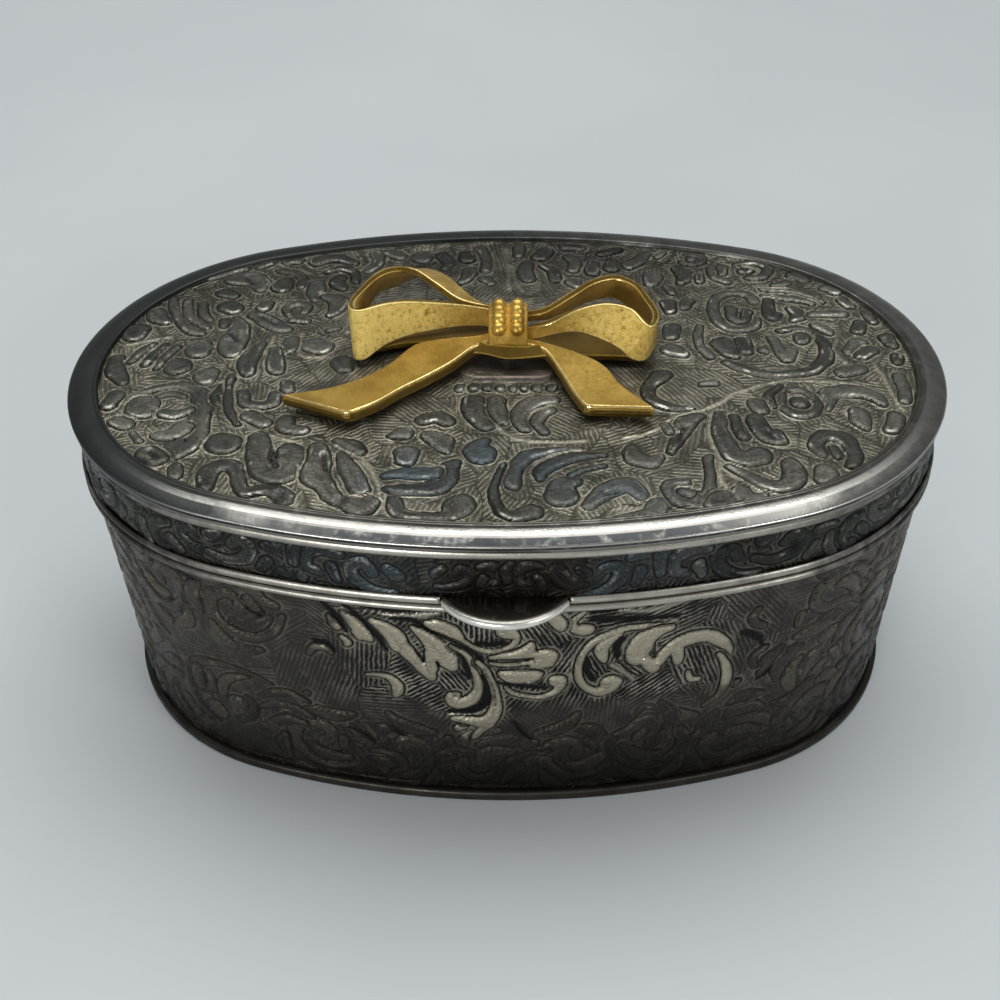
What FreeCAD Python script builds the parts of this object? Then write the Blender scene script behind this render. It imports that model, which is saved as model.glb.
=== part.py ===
import FreeCAD, Part

import math
import os

# Oval hinged trinket box in embossed plated metal, with a cast ribbon bow on its lid.
# Millimetres. The origin is at the middle of the foot's underside, the front faces -Y and up is +Z.
# An inset is a distance inward from the widest outline, which is the edge of the lid's rim.

Vector = FreeCAD.Vector
UP = Vector(0, 0, 1)
ACROSS = Vector(1, 0, 0)

# Widest outline: an oval of four tangent arcs
box_length = 114.0
box_width = 74.2
end_radius_share = 0.895

# Sheet, gaps and overrun
wall_thickness = 1.2
body_gap = 0.3
lining_gap = 0.15
overrun = 2.0

# Foot and base
foot_height = 1.6
foot_inset = 2.6
foot_breadth = 2.6
foot_edge = 0.4
base_thickness = 1.2

# Body wall and the bead round its top
wall_inset_bottom = 3.3
wall_inset_top = 0.97
split_height = 36.8
bead_height = 1.05
bead_inset = 0.25
lip_rise = 1.1
lip_depth = 3.4
lip_thickness = 0.8
lip_clearance = 0.35

# Lid: bead, frieze skirt, cord moulding, rim and top plate
skirt_inset = 0.6
frieze_height = 5.9
cord_height = 1.1
cord_inset = 0.3
rim_drop = 1.1
rim_rise = 0.65
rim_breadth = 3.8
ridge_breadth = 0.5
ridge_rise = 0.15
rim_bulge_share = 0.125
rim_bulge_height_share = 0.33
rim_crown_share = 0.42
rim_crown_height_share = 0.8
rim_ledge = 0.8
rim_ledge_thickness = 0.5
plate_thickness = 1.0
plate_recess = 0.15
cartouche_length = 13.6
cartouche_width = 8.2
cartouche_rise = 0.25
cartouche_corner = 3.0

# Thumb tab at the front of the lid
tab_length = 15.0
tab_offset = 0.45
tab_reach = 4.125
tab_edge = 0.4

# Lining of velvet over card
lining_thickness = 1.0
floor_pad_thickness = 1.6
lining_top_drop = 4.2

# Hinge behind the lid
hinge_length = 26.0
knuckle_count = 5
knuckle_radius = 1.7
pin_radius = 0.7
pin_clearance = 0.05
pin_head_radius = 1.1
pin_head_length = 0.5
knuckle_gap = 0.2
leaf_height = 5.6
leaf_thickness = 0.8
hinge_offset = 0.725

# Bow: its sizes over all, its ribbon and its knot
bow_offset = 0.05
bow_back = -0.45
bow_length = 48.0
bow_depth = 30.0
bow_height = 8.0
ribbon_thickness = 1.15
tail_thickness = 1.9
under_ribbon_thickness = 0.9
ribbon_steps = 4
bow_gap = 0.05
knot_length_share = 0.106
knot_offset_share = 0.008
knot_height = 3.8
knot_back = 2.8
knot_major = 3.5
knot_minor = 2.3
knot_tilt = 37.0
knot_edge = 0.6
knot_flat_height = 1.6
bead_radius = 1.0
bead_columns = 2
bead_rows = 4
bead_row_angle = 22.0
bead_first_angle = 40.0
bead_sink_share = 0.1
stud_radius = 1.3
stud_head_radius = 2.3
stud_head_height = 0.7

# Worked out from the sizes above
half_length = box_length / 2
half_width = box_width / 2
end_radius = half_width * end_radius_share
side_radius = ((half_length**2 - 2 * half_length * end_radius + half_width**2)
               / (2 * (half_width - end_radius)))
end_centre = half_length - end_radius
side_centre = side_radius - half_width
joint_angle = math.degrees(math.atan2(side_centre, end_centre))
lid_bottom = split_height + body_gap
lid_bead_top = lid_bottom + bead_height
frieze_top = lid_bead_top + frieze_height
rim_bottom = frieze_top + cord_height
rim_edge_height = rim_bottom + rim_drop
lid_top = rim_edge_height + rim_rise
plate_top = lid_top - plate_recess
plate_bottom = plate_top - plate_thickness
floor_height = foot_height + base_thickness
hinge_height = split_height + body_gap / 2
hinge_back = half_width - bead_inset + hinge_offset + knuckle_radius
skirt_inner = skirt_inset + wall_thickness
bow_middle = Vector(bow_offset, bow_back, plate_top)
knot_length = bow_length * knot_length_share
knot_offset = bow_length * knot_offset_share
knot_place = bow_middle + Vector(knot_offset, knot_back, knot_height)


def wall_inset(height):
    """Inset of the wall's outer face at a height, along its straight taper."""
    share = (height - foot_height) / (split_height - foot_height)
    return wall_inset_bottom + share * (wall_inset_top - wall_inset_bottom)


def oval_arcs():
    """Centre, radius and start angle of each arc of the widest outline, and the angle it turns through."""
    end_turn = 2 * joint_angle
    side_turn = 180 - end_turn
    return (
        (Vector(end_centre, 0, 0), end_radius, -joint_angle, end_turn),
        (Vector(0, -side_centre, 0), side_radius, joint_angle, side_turn),
        (Vector(-end_centre, 0, 0), end_radius, 180 - joint_angle, end_turn),
        (Vector(0, side_centre, 0), side_radius, 180 + joint_angle, side_turn),
    )


def outline_face(place, outline):
    """A face from 2-D points. A pair of points in the list is an arc through the first to the second."""
    edges = []
    last = place(*outline[0])
    for step in outline[1:]:
        if isinstance(step[0], tuple):
            end = place(*step[1])
            edges.append(Part.Arc(last, place(*step[0]), end).toShape())
        else:
            end = place(*step)
            edges.append(Part.LineSegment(last, end).toShape())
        last = end
    edges.append(Part.LineSegment(last, place(*outline[0])).toShape())
    return Part.Face(Part.Wire(edges))


def ring(profile):
    """A solid round the oval from a profile of (inset, height) points."""
    quarters = []
    for centre, radius, start, turn in oval_arcs():
        out = Vector(math.cos(math.radians(start)), math.sin(math.radians(start)), 0)

        def place(inset, height):
            return centre + out * (radius - inset) + UP * height

        quarters.append(outline_face(place, profile).revolve(centre, UP, turn))
    return quarters[0].multiFuse(quarters[1:]).removeSplitter().Solids[0]


def oval_wire(inset, height):
    edges = []
    for centre, radius, start, turn in oval_arcs():
        circle = Part.Circle(centre + UP * height, UP, radius - inset)
        edges.append(circle.toShape(math.radians(start), math.radians(start + turn)))
    return Part.Wire(edges)


def oval_slab(inset, bottom, top):
    """A level slab with the oval's outline."""
    return Part.Face(oval_wire(inset, bottom)).extrude(UP * (top - bottom))


def wall_core(bottom, top):
    """All that lies within the wall's outer face between two heights."""
    return Part.makeLoft([oval_wire(wall_inset(height), height) for height in (bottom, top)], True, True)


def cylinder_across(radius, start, end):
    """A cylinder about the hinge axis between two places along it."""
    return Part.makeCylinder(radius, end - start, Vector(start, hinge_back, hinge_height), ACROSS)


def stud_place(height):
    """A point on the axis of the bow's stud."""
    return Vector(knot_place.x, knot_place.y, height)


def half_round(inner_inset, outer_inset, bottom, top):
    """Profile of a moulding with a rounded outer face."""
    middle = (bottom + top) / 2
    shoulder = (inner_inset + outer_inset) / 2
    return [
        (inner_inset, bottom), (shoulder, bottom),
        ((outer_inset, middle), (shoulder, top)),
        (inner_inset, top),
    ]


# Body

def foot_ring():
    outer = foot_inset
    inner = foot_inset + foot_breadth
    return ring([
        (inner, 0), (outer + foot_edge, 0), (outer, foot_edge), (outer, foot_height - foot_edge),
        (outer + foot_edge, foot_height), (inner, foot_height),
    ])


def base_plate():
    return oval_slab(wall_inset(foot_height) + wall_thickness + lining_gap, foot_height, floor_height)


def body_wall():
    bottom = wall_inset(foot_height)
    top = wall_inset(split_height)
    return ring([
        (bottom, foot_height), (top, split_height),
        (top + wall_thickness, split_height), (bottom + wall_thickness, foot_height),
    ])


def body_bead(wall):
    bottom = split_height - bead_height
    inner = wall_inset(bottom) + wall_thickness / 2
    return ring(half_round(inner, bead_inset, bottom, split_height)).cut(wall).Solids[0]


def body_lip(wall):
    """Thin band inside the wall that rises above it and keeps the closed lid in place."""
    outer = skirt_inner + lip_clearance
    inner = outer + lip_thickness
    bottom = split_height - lip_depth
    seat = split_height - lining_gap
    band = ring([
        (wall_inset(bottom), bottom), (wall_inset(seat), seat), (outer, seat),
        (outer, split_height + lip_rise), (inner, split_height + lip_rise), (inner, bottom),
    ])
    return band.cut(wall).Solids[0]


def wall_lining():
    bottom = floor_height + lining_gap
    top = split_height - lining_top_drop
    gap = wall_thickness + lining_gap
    inner = gap + lining_thickness
    return ring([
        (wall_inset(bottom) + gap, bottom), (wall_inset(top) + gap, top),
        (wall_inset(top) + inner, top), (wall_inset(bottom) + inner, bottom),
    ])


def floor_pad():
    bottom = floor_height + lining_gap
    inset = wall_inset(bottom) + wall_thickness + lining_thickness + 2 * lining_gap
    return oval_slab(inset, bottom, bottom + floor_pad_thickness)


# Lid

def lid_bead(tab):
    bead = ring(half_round(skirt_inset, bead_inset, lid_bottom, lid_bead_top))
    return bead.cut(tab).Solids[0]


def lid_skirt():
    return ring([
        (skirt_inset, lid_bottom), (skirt_inset, rim_bottom),
        (skirt_inner, rim_bottom), (skirt_inner, lid_bottom),
    ])


def lid_cord():
    """Small moulding that carries the rim above the frieze."""
    return ring(half_round(skirt_inset, cord_inset, frieze_top, rim_bottom))


def lid_rim():
    ledge_inner = rim_breadth + rim_ledge
    ledge_bottom = plate_bottom - rim_ledge_thickness
    ridge_outer = rim_breadth - ridge_breadth
    bulge = (rim_drop * rim_bulge_share, rim_bottom + rim_drop * rim_bulge_height_share)
    crown = (ridge_outer * rim_crown_share, rim_edge_height + rim_rise * rim_crown_height_share)
    ridge = ((ridge_outer + rim_breadth) / 2, lid_top + ridge_rise)
    return ring([
        (cord_inset, rim_bottom), (bulge, (0, rim_edge_height)), (crown, (ridge_outer, lid_top)),
        (ridge, (rim_breadth, lid_top)), (rim_breadth, plate_bottom), (ledge_inner, plate_bottom),
        (ledge_inner, ledge_bottom), (skirt_inner, ledge_bottom), (skirt_inner, rim_bottom),
    ])


def lid_plate():
    plate = oval_slab(rim_breadth, plate_bottom, plate_top)
    cartouche = Part.makeBox(
        cartouche_length, cartouche_width, plate_thickness,
        Vector(knot_place.x - cartouche_length / 2, -cartouche_width / 2,
               plate_top + cartouche_rise - plate_thickness))
    upright = [edge for edge in cartouche.Edges if edge.BoundBox.ZLength > plate_thickness / 2]
    hole = Part.makeCylinder(
        stud_radius + pin_clearance, plate_thickness + 2 * overrun,
        stud_place(plate_bottom - overrun))
    return plate.fuse(cartouche.makeFillet(cartouche_corner, upright)).cut(hole).removeSplitter()


def lid_lining():
    top = plate_bottom - rim_ledge_thickness - lining_gap
    pad = oval_slab(skirt_inner + lining_gap, top - lining_thickness, top)
    hole = Part.makeCylinder(
        stud_head_radius + lining_gap, lining_thickness + 2 * overrun,
        stud_place(top - lining_thickness - overrun))
    return pad.cut(hole)


def thumb_tab():
    """Crescent shelf that stands out from the skirt through a gap in the lid's bead."""
    front = -(half_width - bead_inset + tab_reach)
    half = tab_length / 2
    radius = (half**2 + tab_reach**2) / (2 * tab_reach)
    disc = Part.makeCylinder(radius, bead_height, Vector(tab_offset, front + radius, lid_bottom))
    top_rim = [edge for edge in disc.Edges if edge.BoundBox.ZMin > lid_bottom + bead_height / 2]
    inside = oval_slab(skirt_inset, lid_bottom - overrun, lid_bead_top + overrun)
    keep = Part.makeBox(
        tab_length, radius, bead_height + 2 * overrun,
        Vector(tab_offset - half, front, lid_bottom - overrun))
    return disc.makeChamfer(tab_edge, top_rim).common(keep).cut(inside).Solids[0]


# Hinge

def knuckle_spans():
    """Start and end of each knuckle along the hinge, from the left."""
    pitch = hinge_length / knuckle_count
    spans = []
    for i in range(knuckle_count):
        start = i * pitch - hinge_length / 2
        spans.append((start + knuckle_gap / 2, start + pitch - knuckle_gap / 2))
    return spans


def hinge_leaf(first_knuckle, leaf_profile, backing):
    """A leaf shaped to the metal behind it, with every other knuckle of the barrel."""
    half = hinge_length / 2

    def place(depth, height):
        return Vector(-half, depth, height)

    leaf = outline_face(place, leaf_profile).extrude(ACROSS * hinge_length)
    spans = knuckle_spans()
    own = spans[first_knuckle::2]
    others = spans[1 - first_knuckle::2]
    for start, end in own:
        leaf = leaf.fuse(cylinder_across(knuckle_radius, start, end))
    for start, end in others:
        leaf = leaf.cut(cylinder_across(
            knuckle_radius + knuckle_gap, start - knuckle_gap, end + knuckle_gap))
    leaf = leaf.cut(cylinder_across(pin_radius + pin_clearance, -half - overrun, half + overrun))
    for piece in backing:
        leaf = leaf.cut(piece)
    return leaf.removeSplitter().Solids[0]


def body_hinge_leaf(backing):
    front = half_width - wall_inset_top - wall_thickness
    bead_back = half_width - bead_inset + hinge_offset / 2
    top = split_height
    under_bead = split_height - bead_height
    bottom = top - leaf_height
    wall_back = half_width - wall_inset(bottom)
    return hinge_leaf(0, [
        (front, bottom), (wall_back + leaf_thickness, bottom),
        (bead_back + leaf_thickness, under_bead), (bead_back + leaf_thickness, top), (front, top),
    ], backing)


def lid_hinge_leaf(backing):
    front = half_width - skirt_inset - wall_thickness
    bead_back = half_width - bead_inset + hinge_offset / 2
    top = lid_bottom + leaf_height
    skirt_back = half_width - skirt_inset
    return hinge_leaf(1, [
        (front, lid_bottom), (bead_back + leaf_thickness, lid_bottom),
        (bead_back + leaf_thickness, lid_bead_top),
        (skirt_back + leaf_thickness, lid_bead_top + leaf_thickness),
        (skirt_back + leaf_thickness, top), (front, top),
    ], backing)


def hinge_pin():
    half = hinge_length / 2
    pin = cylinder_across(pin_radius, -half, half)
    for start in (-half - pin_head_length, half):
        pin = pin.fuse(cylinder_across(pin_head_radius, start, start + pin_head_length))
    return pin.removeSplitter()


# Bow. Ribbon edges are shares of the bow's length, depth and height, from the middle of the lid's plate.

left_loop_shares = (
    ((-0.030, 0.150, 0.38), (-0.030, 0.170, 0.68)),
    ((-0.125, 0.170, 0.35), (-0.125, 0.187, 0.74)),
    ((-0.252, 0.165, 0.23), (-0.256, 0.177, 0.82)),
    ((-0.333, 0.105, 0.15), (-0.331, 0.153, 0.83)),
    ((-0.390, 0.013, 0.06), (-0.400, 0.110, 0.80)),
    ((-0.412, 0.073, 0.06), (-0.422, 0.165, 0.81)),
    ((-0.412, 0.310, 0.11), (-0.395, 0.260, 0.87)),
    ((-0.380, 0.490, 0.27), (-0.355, 0.350, 0.93)),
    ((-0.320, 0.520, 0.38), (-0.308, 0.383, 0.97)),
    ((-0.246, 0.520, 0.62), (-0.254, 0.353, 0.97)),
    ((-0.175, 0.430, 0.70), (-0.196, 0.270, 0.90)),
    ((-0.100, 0.290, 0.60), (-0.125, 0.190, 0.76)),
    ((-0.030, 0.210, 0.50), (-0.030, 0.170, 0.66)),
)
left_under_shares = (
    ((-0.030, 0.060, 0.26), (-0.030, 0.200, 0.28)),
    ((-0.160, 0.090, 0.16), (-0.160, 0.260, 0.16)),
    ((-0.270, 0.120, 0.09), (-0.270, 0.330, 0.09)),
    ((-0.400, 0.060, 0.08), (-0.400, 0.280, 0.08)),
)
left_tail_shares = (
    ((-0.030, 0.033, 0.30), (-0.030, 0.090, 0.36)),
    ((-0.081, -0.003, 0.26), (-0.090, 0.070, 0.32)),
    ((-0.138, -0.100, 0.20), (-0.177, 0.073, 0.24)),
    ((-0.202, -0.190, 0.16), (-0.248, 0.050, 0.18)),
    ((-0.267, -0.277, 0.14), (-0.310, -0.080, 0.14)),
    ((-0.329, -0.380, 0.14), (-0.375, -0.187, 0.14)),
    ((-0.380, -0.440, 0.14), (-0.471, -0.273, 0.14)),
    ((-0.394, -0.450, 0.14), (-0.576, -0.322, 0.15)),
)
right_loop_shares = (
    ((0.060, 0.073, 0.28), (0.060, 0.090, 0.52)),
    ((0.125, 0.067, 0.44), (0.117, 0.050, 0.70)),
    ((0.194, 0.057, 0.50), (0.194, 0.080, 0.87)),
    ((0.256, 0.033, 0.42), (0.273, 0.093, 0.95)),
    ((0.310, 0.000, 0.30), (0.344, 0.080, 0.87)),
    ((0.346, -0.047, 0.10), (0.390, -0.007, 0.75)),
    ((0.371, -0.045, 0.06), (0.412, 0.020, 0.73)),
    ((0.415, 0.140, 0.14), (0.414, 0.095, 0.81)),
    ((0.396, 0.253, 0.31), (0.391, 0.170, 0.87)),
    ((0.354, 0.300, 0.38), (0.356, 0.250, 0.95)),
    ((0.306, 0.350, 0.50), (0.302, 0.293, 1.00)),
    ((0.242, 0.310, 0.55), (0.240, 0.253, 1.00)),
    ((0.177, 0.240, 0.53), (0.175, 0.170, 0.92)),
    ((0.115, 0.187, 0.48), (0.110, 0.127, 0.75)),
    ((0.060, 0.180, 0.46), (0.060, 0.140, 0.65)),
)
right_under_shares = (
    ((0.060, 0.050, 0.24), (0.060, 0.190, 0.25)),
    ((0.180, 0.000, 0.15), (0.180, 0.210, 0.15)),
    ((0.290, 0.010, 0.09), (0.290, 0.230, 0.09)),
    ((0.375, 0.000, 0.08), (0.375, 0.180, 0.08)),
)
right_tail_shares = (
    ((0.060, 0.020, 0.24), (0.060, 0.070, 0.26)),
    ((0.106, -0.020, 0.22), (0.140, 0.020, 0.24)),
    ((0.146, -0.157, 0.17), (0.222, -0.050, 0.20)),
    ((0.179, -0.300, 0.14), (0.271, -0.117, 0.15)),
    ((0.202, -0.387, 0.14), (0.310, -0.250, 0.14)),
    ((0.206, -0.397, 0.14), (0.385, -0.410, 0.14)),
)


def bow_place(shares):
    along, back, rise = shares
    return bow_middle + Vector(along * bow_length, back * bow_depth, rise * bow_height)


def smooth_row(points):
    """Points on a smooth curve through the given ones, with ribbon_steps of them to each span."""
    row = []
    for i in range(len(points) - 1):
        before = points[max(i - 1, 0)]
        start = points[i]
        end = points[i + 1]
        after = points[min(i + 2, len(points) - 1)]
        for step in range(ribbon_steps):
            t = step / ribbon_steps
            row.append((start * 2 + (end - before) * t
                        + (before * 2 - start * 5 + end * 4 - after) * t**2
                        + (start * 3 - before - end * 3 + after) * t**3) / 2)
    return row + [points[-1]]


def ribbon_sections(edge_shares, thickness):
    """Flat sections square to a ribbon's run, along the smooth rows of its two edges."""
    ones = smooth_row([bow_place(one) for one, other in edge_shares])
    others = smooth_row([bow_place(other) for one, other in edge_shares])
    middles = [(one + other) / 2 for one, other in zip(ones, others)]
    sections = []
    for i, (one, other) in enumerate(zip(ones, others)):
        along = middles[min(i + 1, len(middles) - 1)] - middles[max(i - 1, 0)]
        through = along.cross(other - one)
        through.normalize()
        through = through * (thickness / 2)
        corners = [one + through, other + through, other - through, one - through]
        sections.append(Part.makePolygon(corners + corners[:1]))
    return sections


def ribbon(edge_shares, thickness):
    return Part.makeLoft(ribbon_sections(edge_shares, thickness), True, True)


def closed_ribbon(edge_shares, thickness):
    """A ribbon that comes back beside its own start, lofted in two halves that are joined."""
    sections = ribbon_sections(edge_shares, thickness)
    middle = len(sections) // 2
    halves = [Part.makeLoft(part, True, True) for part in (sections[:middle + 1], sections[middle:])]
    return halves[0].fuse(halves[1])


def beside_knot(side):
    """The room on one side of the knot, above the lid's plate, that the ribbons fill."""
    reach = bow_length
    start = knot_place.x + side * knot_length / 2
    left = min(start, start + side * reach)
    return Part.makeBox(
        reach, 2 * reach, reach, Vector(left, bow_back - reach, plate_top + bow_gap))


def bow_loop(side, band, under):
    """A standing loop, with the run of ribbon that lies under it."""
    loop = closed_ribbon(band, ribbon_thickness).fuse(ribbon(under, under_ribbon_thickness))
    return max(loop.common(beside_knot(side)).Solids, key=lambda solid: solid.Volume)


def bow_tail(side, shares, loop):
    tail = ribbon(shares, tail_thickness).common(beside_knot(side)).cut(loop)
    return max(tail.Solids, key=lambda solid: solid.Volume)


def bow_knot():
    """A rounded band over the ribbons, with two columns of beads and a flat seat for its stud."""
    left_end = knot_place - ACROSS * (knot_length / 2)
    tilt = math.radians(knot_tilt)
    major_way = Vector(0, math.cos(tilt), math.sin(tilt))
    minor_way = Vector(0, -math.sin(tilt), math.cos(tilt))
    ellipse = Part.Ellipse(
        left_end + major_way * knot_major, left_end + minor_way * knot_minor, left_end)
    band = Part.Face(Part.Wire(ellipse.toShape())).extrude(ACROSS * knot_length)
    band = band.makeFillet(knot_edge, band.Edges)
    column_pitch = knot_length / bead_columns
    for column in range(bead_columns):
        for row in range(bead_rows):
            angle = math.radians(bead_first_angle + row * bead_row_angle)
            sink = 1 - bead_sink_share * bead_radius / knot_minor
            place = left_end + ACROSS * (column_pitch * (column + 1 / 2))
            place = place + major_way * (math.cos(angle) * knot_major * sink)
            place = place + minor_way * (math.sin(angle) * knot_minor * sink)
            band = band.fuse(Part.makeSphere(bead_radius, place))
    below = Part.makeBox(
        knot_length + 2 * overrun, 2 * (knot_major + overrun), knot_major + overrun,
        Vector(left_end.x - overrun, left_end.y - knot_major - overrun,
               plate_top + knot_flat_height - knot_major - overrun))
    return band.cut(below).removeSplitter().Solids[0]


def bow_stud():
    """Rivet that carries the knot and grips the lid's plate from below."""
    top = plate_top + knot_flat_height
    head_top = plate_bottom
    post = Part.makeCylinder(stud_radius, top - head_top, stud_place(head_top))
    head = Part.makeCylinder(
        stud_head_radius, stud_head_height, stud_place(head_top - stud_head_height))
    return post.fuse(head).removeSplitter()


def build():
    wall = body_wall()
    bead = body_bead(wall)
    tab = thumb_tab()
    skirt = lid_skirt()
    lower_bead = lid_bead(tab)
    left_loop = bow_loop(-1, left_loop_shares, left_under_shares)
    right_loop = bow_loop(1, right_loop_shares, right_under_shares)
    body_core = wall_core(foot_height, split_height)
    lid_core = oval_slab(skirt_inset, lid_bottom - overrun, lid_top)
    return {
        "foot_ring": foot_ring(),
        "base_plate": base_plate(),
        "body_wall": wall,
        "body_bead": bead,
        "body_lip": body_lip(wall),
        "wall_lining": wall_lining(),
        "floor_pad": floor_pad(),
        "body_hinge_leaf": body_hinge_leaf([body_core, bead]),
        "hinge_pin": hinge_pin(),
        "lid_hinge_leaf": lid_hinge_leaf([lid_core, lower_bead]),
        "lid_bead": lower_bead,
        "lid_skirt": skirt,
        "lid_cord": lid_cord(),
        "lid_rim": lid_rim(),
        "lid_plate": lid_plate(),
        "lid_lining": lid_lining(),
        "thumb_tab": tab,
        "bow_left_loop": left_loop,
        "bow_right_loop": right_loop,
        "bow_left_tail": bow_tail(-1, left_tail_shares, left_loop),
        "bow_right_tail": bow_tail(1, right_tail_shares, right_loop),
        "bow_knot": bow_knot(),
        "bow_stud": bow_stud(),
    }


os.makedirs("parts", exist_ok=True)
for name, solid in build().items():
    solid.exportStep(f"parts/{name}.step")
    print(f"{name}: {len(solid.Solids)} solid, {solid.Volume:.1f} mm3, valid {solid.isValid()}")
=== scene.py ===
import math

import bpy
import numpy as np
from mathutils import Matrix, Vector


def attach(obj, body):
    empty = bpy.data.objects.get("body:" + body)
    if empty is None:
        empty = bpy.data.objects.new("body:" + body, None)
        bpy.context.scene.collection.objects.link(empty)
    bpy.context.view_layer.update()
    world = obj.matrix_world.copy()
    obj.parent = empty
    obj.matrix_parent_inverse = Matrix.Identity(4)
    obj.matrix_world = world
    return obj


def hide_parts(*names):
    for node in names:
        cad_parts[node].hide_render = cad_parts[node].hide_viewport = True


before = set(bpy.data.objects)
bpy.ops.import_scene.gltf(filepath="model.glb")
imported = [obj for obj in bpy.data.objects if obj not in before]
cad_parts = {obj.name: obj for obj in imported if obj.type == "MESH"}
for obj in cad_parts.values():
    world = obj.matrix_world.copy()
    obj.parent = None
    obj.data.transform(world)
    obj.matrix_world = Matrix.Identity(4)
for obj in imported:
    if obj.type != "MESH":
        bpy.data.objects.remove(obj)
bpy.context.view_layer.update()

# Oval hinged trinket box in embossed plated metal with a ribbon bow. Lengths are in millimetres.
mm = 0.001

# Widest outline and heights, as on the solids
box_length = 114.0
box_width = 74.2
end_radius_share = 0.895
foot_height = 1.6
foot_inset = 2.6
foot_breadth = 2.6
floor_height = 2.8
wall_inset_bottom = 3.3
wall_inset_top = 0.97
wall_thickness = 1.2
split_height = 36.8
body_gap = 0.3
bead_height = 1.05
bead_inset = 0.25
lid_bottom = split_height + body_gap
lid_bead_top = lid_bottom + bead_height
frieze_top = 44.05
rim_bottom = 45.15
rim_edge_height = 46.25
lid_top = 46.9
rim_breadth = 3.8
ridge_breadth = 0.5
ridge_rise = 0.15
plate_top = 46.75
plate_bottom = 45.75
skirt_inset = 0.6
cord_inset = 0.3
tab_length = 15.0
tab_offset = 0.45
tab_reach = 4.125
cartouche_length = 13.6
cartouche_width = 8.2
cartouche_rise = 0.25
cartouche_corner = 3.0
cartouche_middle = 0.43
lining_gap = 0.15
lining_thickness = 1.0
floor_pad_thickness = 1.6
lining_top = 32.6

# Bow
bow_offset = 0.05
bow_back = -0.45
bow_length = 48.0
bow_depth = 30.0
bow_height = 8.0
ribbon_thickness = 0.9
tail_thickness = 1.75
under_ribbon_thickness = 0.9
ribbon_steps = 10
knot_length = 5.09
knot_offset = 0.38
knot_height = 3.8
knot_back = 2.8
knot_major = 3.5
knot_minor = 2.3
knot_tilt = 37.0
knot_flat_height = 1.6
knot_bead_radius = 1.0
knot_bead_rows = 4
knot_bead_row_angle = 22.0
knot_bead_first_angle = 40.0

half_length = box_length / 2
half_width = box_width / 2
end_radius = half_width * end_radius_share
side_radius = ((half_length**2 - 2 * half_length * end_radius + half_width**2)
               / (2 * (half_width - end_radius)))
end_centre = half_length - end_radius
side_centre = side_radius - half_width
joint_turn = math.atan2(side_centre, end_centre)
side_run = side_radius * (math.pi / 2 - joint_turn)
end_run = end_radius * 2 * joint_turn
perimeter = 4 * side_run + 2 * end_run


# Shapes round the oval

def outline(run, inset):
    """Point and outward direction at a distance along the widest outline from the middle of the front."""
    run = np.mod(np.asarray(run, float) + perimeter / 2, perimeter) - perimeter / 2
    side = np.where(run < 0, -1.0, 1.0)
    run = np.abs(run)
    on_end = (run > side_run) & (run <= side_run + end_run)
    on_back = run > side_run + end_run
    turn = np.where(on_back, joint_turn + (run - side_run - end_run) / side_radius,
                    np.where(on_end, (run - side_run) / end_radius - joint_turn,
                             run / side_radius - math.pi / 2))
    centre_x = np.where(on_end, end_centre, 0.0)
    centre_y = np.where(on_end, 0.0, np.where(on_back, -side_centre, side_centre))
    radius = np.where(on_end, end_radius, side_radius)
    out_x = np.cos(turn)
    out_y = np.sin(turn)
    x = centre_x + out_x * (radius - inset)
    y = centre_y + out_y * (radius - inset)
    return x * side, y, out_x * side, out_y


def wall_inset(height):
    share = (height - foot_height) / (split_height - foot_height)
    return wall_inset_bottom + share * (wall_inset_top - wall_inset_bottom)


def grid_quads(rows, columns, close_rows=False, close_columns=False):
    """Four corners of each face of a grid of points stored row by row."""
    down = np.arange(rows if close_rows else rows - 1)
    across = np.arange(columns if close_columns else columns - 1)
    i, j = np.meshgrid(down, across, indexing="ij")
    below = (i + 1) % rows
    beside = (j + 1) % columns
    corners = [i * columns + j, i * columns + beside, below * columns + beside, below * columns + j]
    return np.stack(corners, -1).reshape(-1, 4)


def make_piece(name, points, faces, material, body, node_names, values=None):
    """A mesh object from points in millimetres that stands for CAD nodes, with named values on its points."""
    mesh = bpy.data.meshes.new(name)
    corners = (np.asarray(points, float) * mm).tolist()
    mesh.from_pydata(corners, [], [tuple(int(k) for k in face) for face in faces])
    mesh.update()
    for face in mesh.polygons:
        face.use_smooth = len(face.vertices) < 5
    for key, row in (values or {}).items():
        attribute = mesh.attributes.new(key, "FLOAT", "POINT")
        attribute.data.foreach_set("value", np.asarray(row, np.float32).ravel())
    piece = bpy.data.objects.new(name, mesh)
    bpy.context.scene.collection.objects.link(piece)
    mesh.materials.append(material)
    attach(piece, body)
    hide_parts(*node_names)
    return piece


def sweep(runs, profile, closed=True):
    """Points and faces of a profile of (inset, height) points carried round the oval."""
    profile = np.asarray(profile, float)
    inset = np.repeat(profile[:, :1], len(runs), axis=1)
    x, y, out_x, out_y = outline(runs[None, :] + np.zeros_like(inset), 0.0)
    x = x - out_x * inset
    y = y - out_y * inset
    z = np.repeat(profile[:, 1:], len(runs), axis=1)
    points = np.stack([x, y, z], -1).reshape(-1, 3)
    faces = [tuple(face) for face in grid_quads(len(profile), len(runs), True, closed)]
    if not closed:
        starts = [k * len(runs) for k in range(len(profile))]
        faces += [tuple(starts), tuple(k + len(runs) - 1 for k in starts[::-1])]
    return points, faces


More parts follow.
